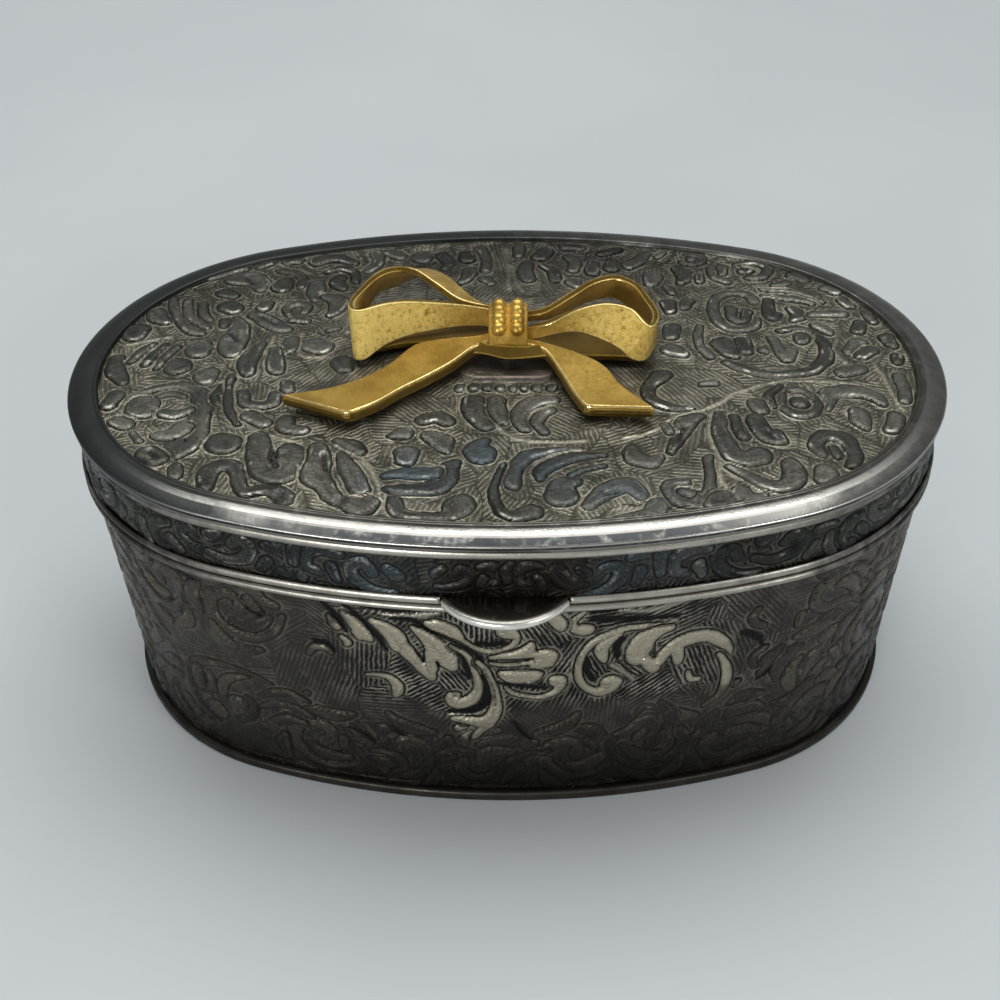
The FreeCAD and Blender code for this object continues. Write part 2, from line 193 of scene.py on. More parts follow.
def arc_profile(start, middle, end, steps):
    """Points on the circle through three profile points, from the first to the last."""
    (ax, ay), (bx, by), (cx, cy) = start, middle, end
    d = 2 * (ax * (by - cy) + bx * (cy - ay) + cx * (ay - by))
    ux = ((ax**2 + ay**2) * (by - cy) + (bx**2 + by**2) * (cy - ay) + (cx**2 + cy**2) * (ay - by)) / d
    uy = ((ax**2 + ay**2) * (cx - bx) + (bx**2 + by**2) * (ax - cx) + (cx**2 + cy**2) * (bx - ax)) / d
    radius = math.hypot(ax - ux, ay - uy)
    angles = [math.atan2(y - uy, x - ux) for x, y in (start, middle, end)]
    turn_middle = (angles[1] - angles[0]) % (2 * math.pi)
    turn_end = (angles[2] - angles[0]) % (2 * math.pi)
    if turn_middle > turn_end:
        turn_end -= 2 * math.pi
    return [(ux + radius * math.cos(angles[0] + turn_end * k / steps),
             uy + radius * math.sin(angles[0] + turn_end * k / steps)) for k in range(steps + 1)]


# Embossing. A motif is a row of (across, up, radius) points: a smooth path of discs that run together.

path_steps = 10


def smooth_path(points, steps=path_steps):
    """A smooth curve through points, with equal steps between each two of them."""
    points = [np.asarray(point, float) for point in points]
    row = []
    for i in range(len(points) - 1):
        before = points[max(i - 1, 0)]
        start = points[i]
        end = points[i + 1]
        after = points[min(i + 2, len(points) - 1)]
        for step in range(steps):
            t = step / steps
            row.append((start * 2 + (end - before) * t
                        + (before * 2 - start * 5 + end * 4 - after) * t**2
                        + (start * 3 - before - end * 3 + after) * t**3) / 2)
    row.append(points[-1])
    return np.array(row)


def path_distance(u, v, path, reach):
    """Points within reach of a path of discs, and their signed distance to it, place along it and turn."""
    low = (path[:, :2] - path[:, 2:]).min(0) - reach
    high = (path[:, :2] + path[:, 2:]).max(0) + reach
    inside = np.flatnonzero((u > low[0]) & (u < high[0]) & (v > low[1]) & (v < high[1]))
    nearest = np.full(len(inside), reach)
    along = np.zeros(len(inside))
    turn = np.zeros(len(inside))
    steps = np.concatenate([[0], np.cumsum(np.hypot(np.diff(path[:, 0]), np.diff(path[:, 1])))])
    for (x, y, radius), step in zip(path, steps):
        across = u[inside] - x
        up = v[inside] - y
        distance = np.hypot(across, up) - radius
        closer = distance < nearest
        nearest[closer] = distance[closer]
        along[closer] = step
        turn[closer] = np.arctan2(up[closer], across[closer])
    return inside, nearest, along, turn


motif_band = 0.5
motif_reach = 4.0
cut_depth = motif_band / 5
hatch_pitch = 0.62
first_hatch_angle = 0.3
vein_pitch = 0.8
vein_turn_reach = 0.7
vein_slant_share = 0.8
patch_reach = 6.0
golden_turn = 2.4
tone_turn = 7.3
waver_size = 3.1
fine_waver_size = 1.2
fine_waver_share = 0.4
ridge_fade = 0.45
groove_fade = 0.2
lattice_side = 16


def ripple(places, size, seed):
    """Smooth random values between -1 and 1 at places, with bumps about a size apart."""
    lattice = np.random.default_rng(seed).uniform(-1, 1, (lattice_side, lattice_side, lattice_side))
    place = np.asarray(places, float) / size
    base = np.floor(place).astype(int)
    share = place - base
    share = share**2 * (3 - 2 * share)
    total = np.zeros(len(place))
    for i in (0, 1):
        for j in (0, 1):
            for k in (0, 1):
                weight = ((share[:, 0] if i else 1 - share[:, 0]) * (share[:, 1] if j else 1 - share[:, 1])
                          * (share[:, 2] if k else 1 - share[:, 2]))
                corner = (base + (i, j, k)) % lattice_side
                total += weight * lattice[corner[:, 0], corner[:, 1], corner[:, 2]]
    return total


def waver_at(places, seed):
    """Random sideways drift of a drawing, in large bumps with small ones on them."""
    return ripple(places, waver_size, seed) + fine_waver_share * ripple(places, fine_waver_size, seed + 1)


def strokes_phase(u, v, angle):
    """Phase of straight hatching whose lines run at an angle."""
    return (v * np.cos(angle) - u * np.sin(angle)) / hatch_pitch


def emboss(u, v, places, groups, grow, waver, cuts=(), ridges=(), grooves=(), patches=()):
    """Distance to the nearest motif's edge, negative inside it; phase of veins and hatching; lines; tone."""
    plain_u = u
    plain_v = v
    u = u + waver * waver_at(places, 1)
    v = v + waver * waver_at(places, 3)
    edge = np.full(len(u), motif_reach)
    phase = strokes_phase(plain_u, plain_v, first_hatch_angle)
    tone = np.full(len(u), 0.5)
    for number, group in enumerate(groups):
        nearest = np.full(len(u), motif_reach)
        vein = np.zeros(len(u))
        for stroke in group:
            inside, distance, along, turn = path_distance(u, v, smooth_path(stroke), motif_reach)
            distance = distance - grow
            closer = distance < nearest[inside]
            hit = inside[closer]
            nearest[hit] = distance[closer]
            vein[hit] = (along[closer] + vein_turn_reach * turn[closer]
                         + vein_slant_share * distance[closer]) / vein_pitch
        owned = (nearest < edge) | (nearest < 0)
        hatch = strokes_phase(plain_u[owned], plain_v[owned], number * golden_turn)
        phase[owned] = np.where(nearest[owned] < 0, vein[owned], hatch)
        tone[owned] = 0.5 + 0.5 * math.sin(number * tone_turn)
        edge = np.where(nearest < motif_band, nearest, np.where(edge < 0, edge, np.minimum(edge, nearest)))
    if patches:
        table = np.array(patches, float)
        away = np.hypot(plain_u[:, None] - table[None, :, 0], plain_v[:, None] - table[None, :, 1])
        chosen = away.argmin(1)
        near = (away.min(1) < patch_reach) & (edge > 0)
        phase[near] = strokes_phase(plain_u[near], plain_v[near], np.radians(table[chosen[near], 2]))
    for cut in cuts:
        inside, distance = path_distance(u, v, smooth_path(cut), motif_band)[:2]
        hit = distance < 0
        edge[inside[hit]] = np.maximum(edge[inside[hit]], np.minimum(-distance[hit], cut_depth))
        rim = (distance >= 0) & (edge[inside] < 0)
        edge[inside[rim]] = np.maximum(edge[inside[rim]], -distance[rim])
    line = np.zeros(len(u))
    for sign, fade_reach, rows in ((1, ridge_fade, ridges), (-1, groove_fade, grooves)):
        for row in rows:
            path = smooth_path(row)
            inside, distance = path_distance(u, v, path, motif_band)[:2]
            if sign > 0:
                distance = distance + path[:, 2].mean()
            fade = np.clip(1 - distance / fade_reach, 0, 1)
            line[inside] = np.where(fade > np.abs(line[inside]), sign * fade, line[inside])
    return edge, phase, line, tone


def dome(edge, width, height):
    """Height of a motif's rounded surface at a distance inside its edge."""
    share = np.clip(-edge / width, 0, 1)
    return height * (1 - (1 - share) ** 2)


# Lid motifs, front left, front middle, front right, then the back from left to right
lid_motifs = [
    [(-47.5, -7.5, 0.5), (-45, -5.5, 0.7), (-42, -4.8, 0.9), (-39.5, -6.5, 1.2), (-38.3, -9.5, 1.3),
     (-38.2, -13, 1.4), (-38.8, -16.5, 2.2), (-40, -19, 1.8)],
    [(-42.6, -16, 0.9), (-41, -15.5, 1.2), (-40, -14, 1.3)],
    [(-46, -9.3, 2.0), (-46, -10.2, 2.0)],
    [(-43, -11, 0.8), (-41.5, -11.2, 0.9), (-39.9, -10.4, 0.7)],
    [(-44.3, -7.3, 0.3), (-42.8, -6.5, 0.35), (-41.2, -7.4, 0.35)],
    [(-43.3, -19.5, 1.3), (-42, -20.5, 1.4)],
    [(-50, -7, 1.1), (-50.4, -9.2, 1.1)],
    [(-48.6, -12.8, 1.2), (-47.3, -13.6, 1.2)],
    [(-46, -15.5, 0.35), (-44.8, -17.2, 0.35)],
    [(-39.3, -22.4, 0.8), (-39.1, -24.0, 0.8)],
    [(-34.3, -17.3, 2.0), (-34.2, -17.9, 1.9)],
    [(-35.1, -26, 0.9), (-35.2, -24, 1.2), (-34.3, -22.5, 1.1), (-32.6, -22.3, 1.0), (-31.4, -24, 0.9),
     (-30.9, -26, 0.9), (-30.2, -27.5, 0.8), (-28.5, -26.8, 0.8), (-26.8, -26.6, 1.0), (-25.8, -28, 1.1),
     (-25.3, -29.1, 0.7)],
    [(-30.3, -16.3, 1.2), (-29.8, -19, 1.6), (-28.8, -22, 1.8), (-27, -23.8, 1.7), (-25.5, -22.5, 1.9),
     (-25.4, -20.3, 1.7), (-26.2, -18.9, 1.2)],
    [(-22.8, -18.5, 1.0), (-22.0, -21, 1.4), (-22.2, -24, 1.6), (-21, -26, 1.2), (-19.8, -28, 1.1),
     (-18.8, -29.2, 0.7)],
    [(-19.5, -19.7, 0.4), (-18.4, -22.3, 1.1), (-17.3, -24.8, 1.3), (-16.5, -27, 1.1)],
    [(-17.3, -29.6, 1.3), (-16.2, -30.6, 1.3), (-15.2, -29.3, 1.0)],
    [(-20.5, -17, 0.5), (-18.3, -18, 0.9), (-17.1, -19.5, 0.5)],
    [(-36.5, -5, 0.5), (-36.9, -7, 0.8), (-36.5, -8.7, 0.5)],
    [(-35.7, -2.5, 0.3), (-35.4, -7, 0.45), (-34.6, -10.5, 0.45), (-33.2, -13.4, 0.35)],
    [(-33.5, -6.5, 0.6), (-32.8, -8.8, 0.7), (-31, -9.6, 0.8), (-29.5, -8.8, 0.7), (-29.3, -7, 0.6)],
    [(-28.2, -4.6, 0.8), (-27.9, -6, 0.8)],
    [(-38.9, -2.3, 1.6), (-38.7, -3.2, 1.3)],
    [(-43.2, -0.2, 1.7), (-43.3, -0.5, 1.6)],
    [(-51.8, 1.5, 1.0), (-51.3, -1.5, 1.2), (-49.9, -3.8, 0.8)],
    [(-21.5, 0.5, 1.4), (-21, -1, 1.0)],
    [(-27.2, -12.3, 0.8), (-27, -14.5, 1.0), (-25, -15, 0.8)],
    [(-32, -11.6, 1.0), (-29.9, -13.2, 1.0)],
    [(-25.3, -10.5, 0.7), (-23.5, -11.2, 0.6)],
    [(-12.4, -27.7, 0.6), (-12.2, -30, 0.9), (-11, -31.5, 0.9), (-8, -31.8, 0.7), (-5.5, -31.2, 1.2),
     (-4.8, -29.5, 1.7)],
    [(-13.5, -26.5, 0.4), (-11, -26.7, 0.9), (-8.5, -26.4, 1.5), (-7, -24.8, 1.6), (-6.5, -22.8, 1.1),
     (-5.8, -21.5, 0.6)],
    [(-13.7, -24, 0.6), (-10.5, -23.5, 1.1), (-8.2, -23.4, 1.0)],
    [(-2.7, -19.7, 1.8), (-3.2, -18.4, 1.2), (-2.2, -17, 0.5)],
    [(-11.5, -19.5, 1.5), (-11.8, -21.1, 1.2)],
    [(-9, -15.8, 1.0), (-7.3, -17.5, 1.3), (-6.7, -19.1, 0.6)],
    [(-12.4, -15.4, 1.2), (-13.5, -16, 0.6)],
    [(-10.2, -12.5, 1.0), (-8.4, -11.8, 1.2), (-7, -13, 0.9)],
    [(-4, -8.3, 1.2), (-3.8, -10.5, 1.3), (-3.2, -12.8, 1.1), (-2.1, -14, 0.9)],
    [(-1, -8.3, 1.1), (-0.8, -10.5, 1.2), (-0.1, -12.8, 0.9)],
    [(6, -8.2, 0.9), (4, -8.5, 1.2), (2.7, -10.2, 1.3), (2.1, -12.5, 1.1), (2.7, -14.6, 0.8)],
    [(5.9, -10.3, 0.5), (4.7, -11.4, 0.6), (4.2, -13.6, 0.6), (5.3, -15.5, 0.5)],
    [(9.5, -18.7, 0.3), (6, -19, 0.6), (3.3, -20.2, 0.9), (1.6, -22.3, 1.2), (0.9, -24.4, 1.2),
     (1.3, -26, 0.8)],
    [(0.2, -21.5, 0.3), (-0.9, -25.5, 0.4), (-0.9, -28.5, 0.5), (0, -31, 0.7), (1.7, -31.7, 1.0),
     (3.5, -31.1, 1.3)],
    [(12.5, -19.9, 0.4), (9, -20.3, 0.8), (6.4, -21.3, 1.0), (4.8, -23.2, 0.9), (4.6, -24.6, 0.5)],
    [(7, -28, 1.8), (7.2, -26, 1.3), (8.6, -25, 0.8)],
    [(10.1, -29.5, 0.8), (11.2, -27.9, 1.1), (13, -26.3, 1.2), (14.8, -25.8, 1.1), (16, -27.3, 0.9),
     (16.5, -28.3, 0.6)],
    [(13.3, -32.1, 0.5), (15.5, -31.7, 0.7), (17.5, -31.0, 1.1), (18, -29.9, 1.3)],
    [(15.5, -18.8, 0.8), (16, -20.7, 1.2), (17.6, -21.5, 1.1), (18.7, -20.7, 0.7)],
    [(12.3, -22.3, 0.3), (9.6, -22.9, 0.3), (8.2, -23.8, 0.3)],
    [(20.3, -2.8, 1.4), (19, -4.5, 1.0), (18.4, -6.5, 0.8), (19, -8.5, 0.8), (21, -10, 0.7),
     (23.5, -10.3, 0.5)],
    [(24.5, -11.8, 0.5), (23, -13, 1.0), (22, -15, 1.2), (21.3, -17, 0.8), (20.3, -19.4, 0.5)],
    [(20.0, -13.8, 0.6), (20.6, -15.2, 0.6)],
    [(24.9, -20.5, 0.5), (24.9, -24, 0.5), (24.2, -27, 0.6), (22.8, -29, 0.8), (20.8, -28.9, 0.9),
     (19.8, -27.2, 0.8), (20.2, -25.5, 0.7), (21.6, -25.2, 0.7)],
    [(21.5, -27.1, 0.8), (21.8, -27.3, 0.8)],
    [(27, -11.5, 0.8), (26.6, -14, 0.9), (26.9, -17, 1.1), (27.6, -19.5, 1.2), (29, -20.8, 1.3),
     (31, -20.1, 1.5)],
    [(28.4, -12, 0.5), (28.8, -14, 0.6), (29.4, -16.3, 0.8)],
    [(31, -12.5, 1.0), (31.5, -14.3, 1.2), (32.5, -16.2, 1.3), (33.7, -17, 1.1), (33.7, -15.6, 0.9)],
    [(34.5, -21.5, 0.9), (34.7, -23.5, 1.2), (34.1, -25.5, 1.3), (32.5, -26.2, 1.1), (30.5, -25.2, 0.9),
     (28.5, -23.5, 0.6), (27.2, -22.2, 0.4)],
    [(38.4, -23.2, 1.3), (37.7, -24.8, 1.0)],
    [(28, -27.2, 1.1), (28.8, -28.5, 1.0), (30.6, -28.1, 0.6)],
    [(25.5, -28.2, 1.1), (24.2, -29.7, 0.7), (26.4, -29.2, 0.8)],
    [(38.8, -19.5, 0.9), (38.3, -17.5, 1.0), (39.3, -15.9, 1.1), (41, -16, 1.1), (42.2, -17.8, 1.0),
     (42.5, -20, 0.9), (41.8, -22, 0.7)],
    [(40.3, -18.6, 0.5), (40.5, -20, 0.6)],
    [(48.7, -11.8, 1.0), (48.3, -13.5, 1.0), (47.8, -15, 0.7)],
    [(44.3, -11, 1.0), (44.2, -13, 1.1), (44.7, -14.6, 0.6)],
    [(40.6, -10, 0.6), (41, -8, 1.1), (41.8, -6.6, 1.3), (44.5, -6.4, 1.3), (46.6, -7.4, 1.1),
     (47.6, -9, 0.7)],
    [(35.2, -7.3, 0.5), (34.9, -9.8, 0.6), (36.6, -11.7, 0.6), (38.8, -11, 0.6), (39.4, -8.7, 0.6),
     (38.2, -6.6, 0.5), (36.6, -6.4, 0.5)],
    [(37.3, -9, 1.1), (37.5, -9.2, 1.0)],
    [(35.2, -5.4, 0.5), (33.6, -7.2, 0.5), (33.6, -9.6, 0.5)],
    [(31.9, -9, 0.9), (32.2, -10.6, 0.9)],
    [(27.3, -4.4, 0.6), (25.5, -4.6, 0.4)],
    [(50.8, -3, 0.9), (51, -6, 0.9), (50.6, -8.6, 0.6)],
    [(44, -2, 1.2), (46, -1.5, 1.0)],
    [(29.3, 0.2, 0.6), (31.5, -1.4, 0.8), (34.5, -2.5, 0.8), (38, -2.3, 0.8), (40.7, -0.8, 0.8),
     (42.4, 1.8, 0.8),
     (42.6, 4.5, 0.7), (41.6, 7, 0.6), (39.5, 8.6, 0.6), (37, 8.3, 0.5)],
    [(-50.5, 8.8, 1.6), (-50.6, 7.3, 1.5)],
    [(-48.8, 13.3, 1.0), (-48, 11.8, 1.3), (-46.9, 10.6, 0.8)],
    [(-47, 16.8, 0.5), (-46.2, 13.8, 0.7), (-45, 11, 0.8), (-43.6, 8.8, 0.7), (-41.6, 7.7, 0.5)],
    [(-44.8, 16.4, 0.5), (-44.3, 13.6, 0.7), (-43, 11, 0.7), (-41.2, 9.4, 0.5)],
    [(-42.7, 15.5, 0.5), (-42.1, 13.2, 0.6), (-41, 11.2, 0.5)],
    [(-49.7, 0.5, 0.5), (-49, 3, 0.6), (-47.5, 5, 0.5)],
    [(-47.8, -0.2, 0.4), (-47.1, 2.4, 0.6), (-45.7, 4.8, 0.5)],
    [(-46, -0.8, 0.4), (-45.3, 1.9, 0.6), (-44.1, 4.3, 0.5)],
    [(-41, 3.9, 1.7), (-41.1, 3.6, 1.7)],
    [(-37.2, 11.3, 0.8), (-36.5, 8.5, 1.4), (-37, 5.5, 1.8), (-36.4, 3, 1.2)],
    [(-34.5, 12.5, 1.1), (-33, 10.8, 1.3), (-31, 9.4, 1.1), (-29.8, 8.7, 0.5)],
    [(-39, 14.7, 1.4), (-38, 13.9, 1.2)],
    [(-38.7, 11, 0.7), (-38.9, 9.9, 0.5)],
    [(-40, 18.5, 1.2), (-39, 17.8, 1.0)],
    [(-39.5, 22, 1.1), (-37, 22.4, 1.7), (-35.4, 21, 1.4), (-35.2, 19.3, 0.7)],
    [(-43, 22.3, 0.5), (-40.5, 24.2, 0.6), (-38.3, 25.3, 0.7)],
    [(-36, 26, 1.0), (-34.6, 27, 0.9)],
    [(-33, 24.5, 0.6), (-31, 24.1, 0.9), (-29.5, 22.6, 0.9), (-29.2, 20.3, 0.8)],
    [(-32.2, 20.2, 1.6), (-31.8, 21.4, 1.2)],
    [(-33.8, 14.3, 0.9), (-33.3, 15.5, 0.7)],
    [(-30.4, 12.7, 0.6), (-30.7, 14.4, 0.6), (-29.4, 15.6, 0.7), (-28, 14.8, 0.7), (-28.2, 13.3, 0.5)],
    [(-29.3, 11.2, 0.7), (-27.9, 10.8, 0.8)],
    [(-27.2, 21, 1.0), (-27, 18.5, 1.1), (-26.8, 16.8, 0.9)],
    [(-25.3, 17.3, 1.0), (-23.6, 16.2, 1.3), (-23.7, 14, 1.0), (-24.4, 12.4, 0.6)],
    [(-24, 22.6, 1.0), (-24.4, 21, 1.1), (-23.4, 19.7, 0.7)],
    [(-26, 24.5, 0.5), (-24, 25.5, 0.7), (-22.3, 24, 0.6), (-21.6, 21.5, 0.5)],
    [(-28, 27.2, 1.1), (-26.3, 28.2, 1.1), (-24, 28, 0.9), (-22.3, 27, 0.7)],
    [(-30.7, 27.5, 0.8), (-32.3, 27, 0.6)],
    [(-25.5, 4.7, 1.9), (-24.9, 4.2, 1.8)],
    [(-28.9, 6, 1.1), (-29, 3.6, 1.2)],
    [(-24.2, 8.4, 0.4), (-22.9, 8.9, 0.4)],
    [(-32.9, 5.4, 0.4), (-33.6, 3.5, 0.9), (-34.1, 0.8, 1.2), (-33.9, -1.8, 0.9)],
    [(-30.9, 3.6, 0.8), (-30.5, 1, 1.1), (-30.1, -1.5, 1.1)],
    [(-17, 29.6, 1.0), (-15.6, 28.6, 0.8)],
    [(-20.2, 24.6, 0.7), (-18.8, 27.2, 0.8), (-19.4, 29.8, 0.8)],
    [(-12.7, 28.3, 1.5), (-12.3, 29, 1.3)],
    [(-9.6, 29, 1.0), (-8.6, 27, 0.9), (-9.4, 25.4, 0.6)],
    [(-6, 29.6, 0.9), (-6, 27.8, 1.1)],
    [(-5.4, 24.8, 0.9), (-5.6, 22.8, 0.9), (-6.6, 21.2, 0.6)],
    [(-4, 31.3, 0.8), (-3.6, 29.3, 0.7), (-3.2, 26.8, 0.7), (-3.5, 24.6, 0.6)],
    [(-3.2, 22.3, 0.9), (-2.4, 20.8, 0.6)],
    [(1.8, 31, 1.0), (1.6, 29.2, 0.8)],
    [(2.9, 22.4, 1.1), (2.3, 24.6, 1.0), (3, 26.6, 0.8)],
    [(5.2, 25.8, 0.7), (6.6, 24.2, 0.8), (6.9, 21.8, 0.7)],
    [(5.4, 30, 1.0), (4.6, 28.4, 1.0)],
    [(9.2, 21.3, 1.0), (10, 20, 0.6)],
    [(8.7, 28.6, 0.8), (9.6, 26.9, 0.9), (9.3, 24.8, 0.8)],
    [(8.2, 31.4, 0.9), (10.8, 31.2, 0.8)],
    [(12.1, 24.2, 1.1), (12.4, 26.4, 0.8)],
    [(14, 29.3, 1.0), (15.8, 30.1, 0.8)],
    [(14.9, 25, 1.1), (15.3, 27, 0.7)],
    [(17.5, 25.7, 1.1), (19, 27.2, 1.0), (20.1, 29.2, 0.8)],
    [(20.8, 22.8, 1.4), (20.5, 20.9, 0.9)],
    [(22.3, 29.4, 0.8), (21.9, 28, 0.5)],
    [(24.8, 25, 1.1), (25.4, 22.8, 1.2), (24.5, 20.9, 0.7)],
    [(27.3, 21.4, 0.7), (27.4, 22.8, 0.6)],
    [(25.4, 27, 0.4), (26.9, 26.2, 0.5), (28.3, 27.4, 0.5), (27.9, 29, 0.5), (26.2, 29.1, 0.4)],
    [(26.8, 27.7, 0.6), (26.9, 27.8, 0.6)],
    [(29, 24.8, 0.5), (29.6, 22.3, 0.6), (31.3, 21, 0.6)],
    [(30.8, 25.6, 0.8), (30.8, 23.4, 0.6)],
    [(33.1, 26, 0.6), (35.6, 26.6, 0.7), (37, 24.8, 0.7), (36.4, 22.7, 0.7), (34.6, 22, 0.6)],
    [(34.1, 24.1, 1.0), (34.3, 24.2, 0.9)],
    [(40.7, 22.8, 1.1), (41.8, 21.8, 1.0)],
    [(39.2, 20.6, 0.8), (38, 20.2, 0.7)],
    [(35.8, 19, 0.4), (39, 18.6, 0.5), (42, 17.4, 0.5), (43.9, 15.5, 0.4)],
    [(35.9, 17.2, 0.5), (37.8, 16.8, 0.7), (40.5, 16.2, 0.7), (42.4, 15.2, 0.4)],
    [(34.4, 15.5, 0.7), (33.4, 17.5, 0.7), (31, 17.8, 0.7), (29, 16, 0.7), (28.5, 13, 0.7), (29.1, 10, 0.7),
     (31, 8.4, 0.7), (33.2, 9, 0.7), (34, 11, 0.6)],
    [(31, 13.8, 0.7), (30.8, 11.6, 0.6), (32.2, 10.6, 0.5), (33, 12.6, 0.8)],
    [(36.4, 16, 0.6), (36.1, 13.5, 0.8), (36.4, 11.6, 0.9), (37.4, 12.2, 0.5)],
    [(39.4, 13.8, 0.8), (40.2, 12, 1.0), (39.3, 10.8, 0.6)],
    [(42, 12.4, 0.7), (44, 12.5, 0.8), (46, 12.2, 0.7)],
    [(42.4, 9.3, 1.0), (43.4, 8, 0.8)],
    [(39.8, 6.3, 1.2), (39.7, 5.6, 1.1)],
    [(29, 5, 1.5), (30, 2.8, 1.5)],
    [(31.8, 5.5, 0.9), (32, 3, 0.8)],
    [(34.3, 3.4, 0.8), (35.2, 4.3, 0.6)],
    [(35.6, 6.3, 0.7), (36.8, 1, 0.7), (37.8, 3, 0.8)],
    [(47, 4.8, 1.2), (45.9, 3, 1.1)],
    [(48.2, 3.1, 1.0), (46.9, 1.8, 0.9)],
    [(51, 6.5, 1.0), (51.3, 4.6, 0.8)],
    [(51.4, 1.8, 0.7), (51.2, 0.2, 0.6)],
    [(47.4, 7.9, 0.8), (48, 10.2, 0.7)],
    [(49.6, 12.6, 0.8), (49.8, 10.4, 0.6)],
    [(47.4, 14.4, 0.8), (46.6, 16.1, 0.7)],
    [(46, 18.2, 0.8), (44.9, 19.4, 0.7)],
    [(24.5, 14.4, 0.9), (25.3, 15.9, 0.8)],
    [(22.3, 15.5, 1.1), (22.5, 13.4, 0.8)],
    [(22.4, 8.9, 1.1), (22.3, 6.8, 0.9)],
    [(22.2, 3.3, 1.4), (23.3, 2.4, 0.8)],
    [(26.3, 9.3, 0.4), (25.8, 6.6, 0.5), (26, 3.8, 0.6), (27.2, 1.6, 0.6)],
    [(23.2, 18.2, 0.5), (22.6, 19.8, 0.5)],
]
lid_cuts = [
    [(-28.1, -18.5, 0.2), (-27.9, -21, 0.25), (-27, -22.6, 0.2)],
    [(-12.5, -25.3, 0.15), (-9.5, -24.9, 0.2)],
    [(-26.1, -27.8, 0.15), (-26.4, -29, 0.15)],
    [(-43.2, -19.4, 0.2), (-42.2, -20.3, 0.2)],
    [(9.5, -27.6, 0.15), (8.8, -26.3, 0.15)],
    [(12.2, -27.6, 0.12), (13.6, -27, 0.15)],
    [(-21.6, -20, 0.15), (-20.9, -23, 0.2)],
    [(42.6, -8, 0.15), (44.5, -7.8, 0.15)],
    [(-37.8, 8, 0.15), (-36.2, 6, 0.2)],
    [(-33.8, 12, 0.15), (-31.6, 10.2, 0.15)],
    [(-37.6, 23, 0.15), (-36.4, 21, 0.2)],
    [(22.6, -14.5, 0.15), (21.6, -17, 0.15)],
    [(32.6, -15.2, 0.15), (33.2, -16.8, 0.15)],
    [(-38.6, -14, 0.15), (-39.2, -17, 0.2)],
]
lid_ridges = [
    [(-53.2, -6.5, 0.25), (-52.6, -10.5, 0.25), (-49.9, -14.5, 0.25), (-46.2, -19.6, 0.25),
     (-42, -22.6, 0.25)],
    [(-20.5, -18, 0.2), (-17, -20.5, 0.2), (-14.8, -24.5, 0.2), (-14, -28.5, 0.2)],
    [(-34.9, -4, 0.15), (-34.2, -9, 0.15), (-31.9, -13.8, 0.15), (-28.6, -16, 0.15), (-25.8, -17.3, 0.2)],
    [(-1.2, -13.4, 0.2), (0, -15.5, 0.2), (2.5, -17, 0.2), (6, -17.2, 0.2), (10, -17, 0.2)],
    [(15, -16.3, 0.25), (18, -15, 0.25), (21, -12.4, 0.25), (25, -10.4, 0.25), (28, -8, 0.25),
     (30, -6.2, 0.25),
     (34, -4.4, 0.2), (40, -4, 0.2), (45, -4.7, 0.2), (48, -7, 0.2)],
    [(26, -11, 0.2), (25.3, -14, 0.2), (25.5, -18, 0.2), (26.3, -21, 0.2), (26, -24, 0.2),
     (26.3, -26.5, 0.2)],
    [(48.2, 0, 0.2), (48.8, -4, 0.2), (49.4, -8, 0.2), (50.2, -10.5, 0.2)],
    [(-0.3, 31, 0.2), (-0.2, 26, 0.2), (0, 22, 0.25), (0.3, 19.5, 0.25)],
    [(0.3, 26, 0.15), (1.1, 21.6, 0.2), (2.2, 18.6, 0.2)],
    [(-2.4, 30, 0.15), (-2.2, 27, 0.2), (-2.6, 24, 0.2)],
    [(-31.6, 7.3, 0.15), (-31.8, 4, 0.15), (-31.3, 0.5, 0.15)],
    [(-51, 5, 0.2), (-48.4, 6, 0.2), (-45.4, 7, 0.2)],
    [(-27.8, 7.6, 0.12), (-27.7, 4.6, 0.12), (-26.8, 2, 0.15), (-23.5, 2, 0.15)],
    [(44.5, 0.4, 0.2), (43.6, 3.4, 0.2), (44.2, 6.2, 0.15)],
    [(-21.8, 16.4, 0.15), (-21.9, 12, 0.15), (-21.5, 8, 0.15)],
    [(20.2, 20, 0.15), (21.2, 16.8, 0.15)],
]

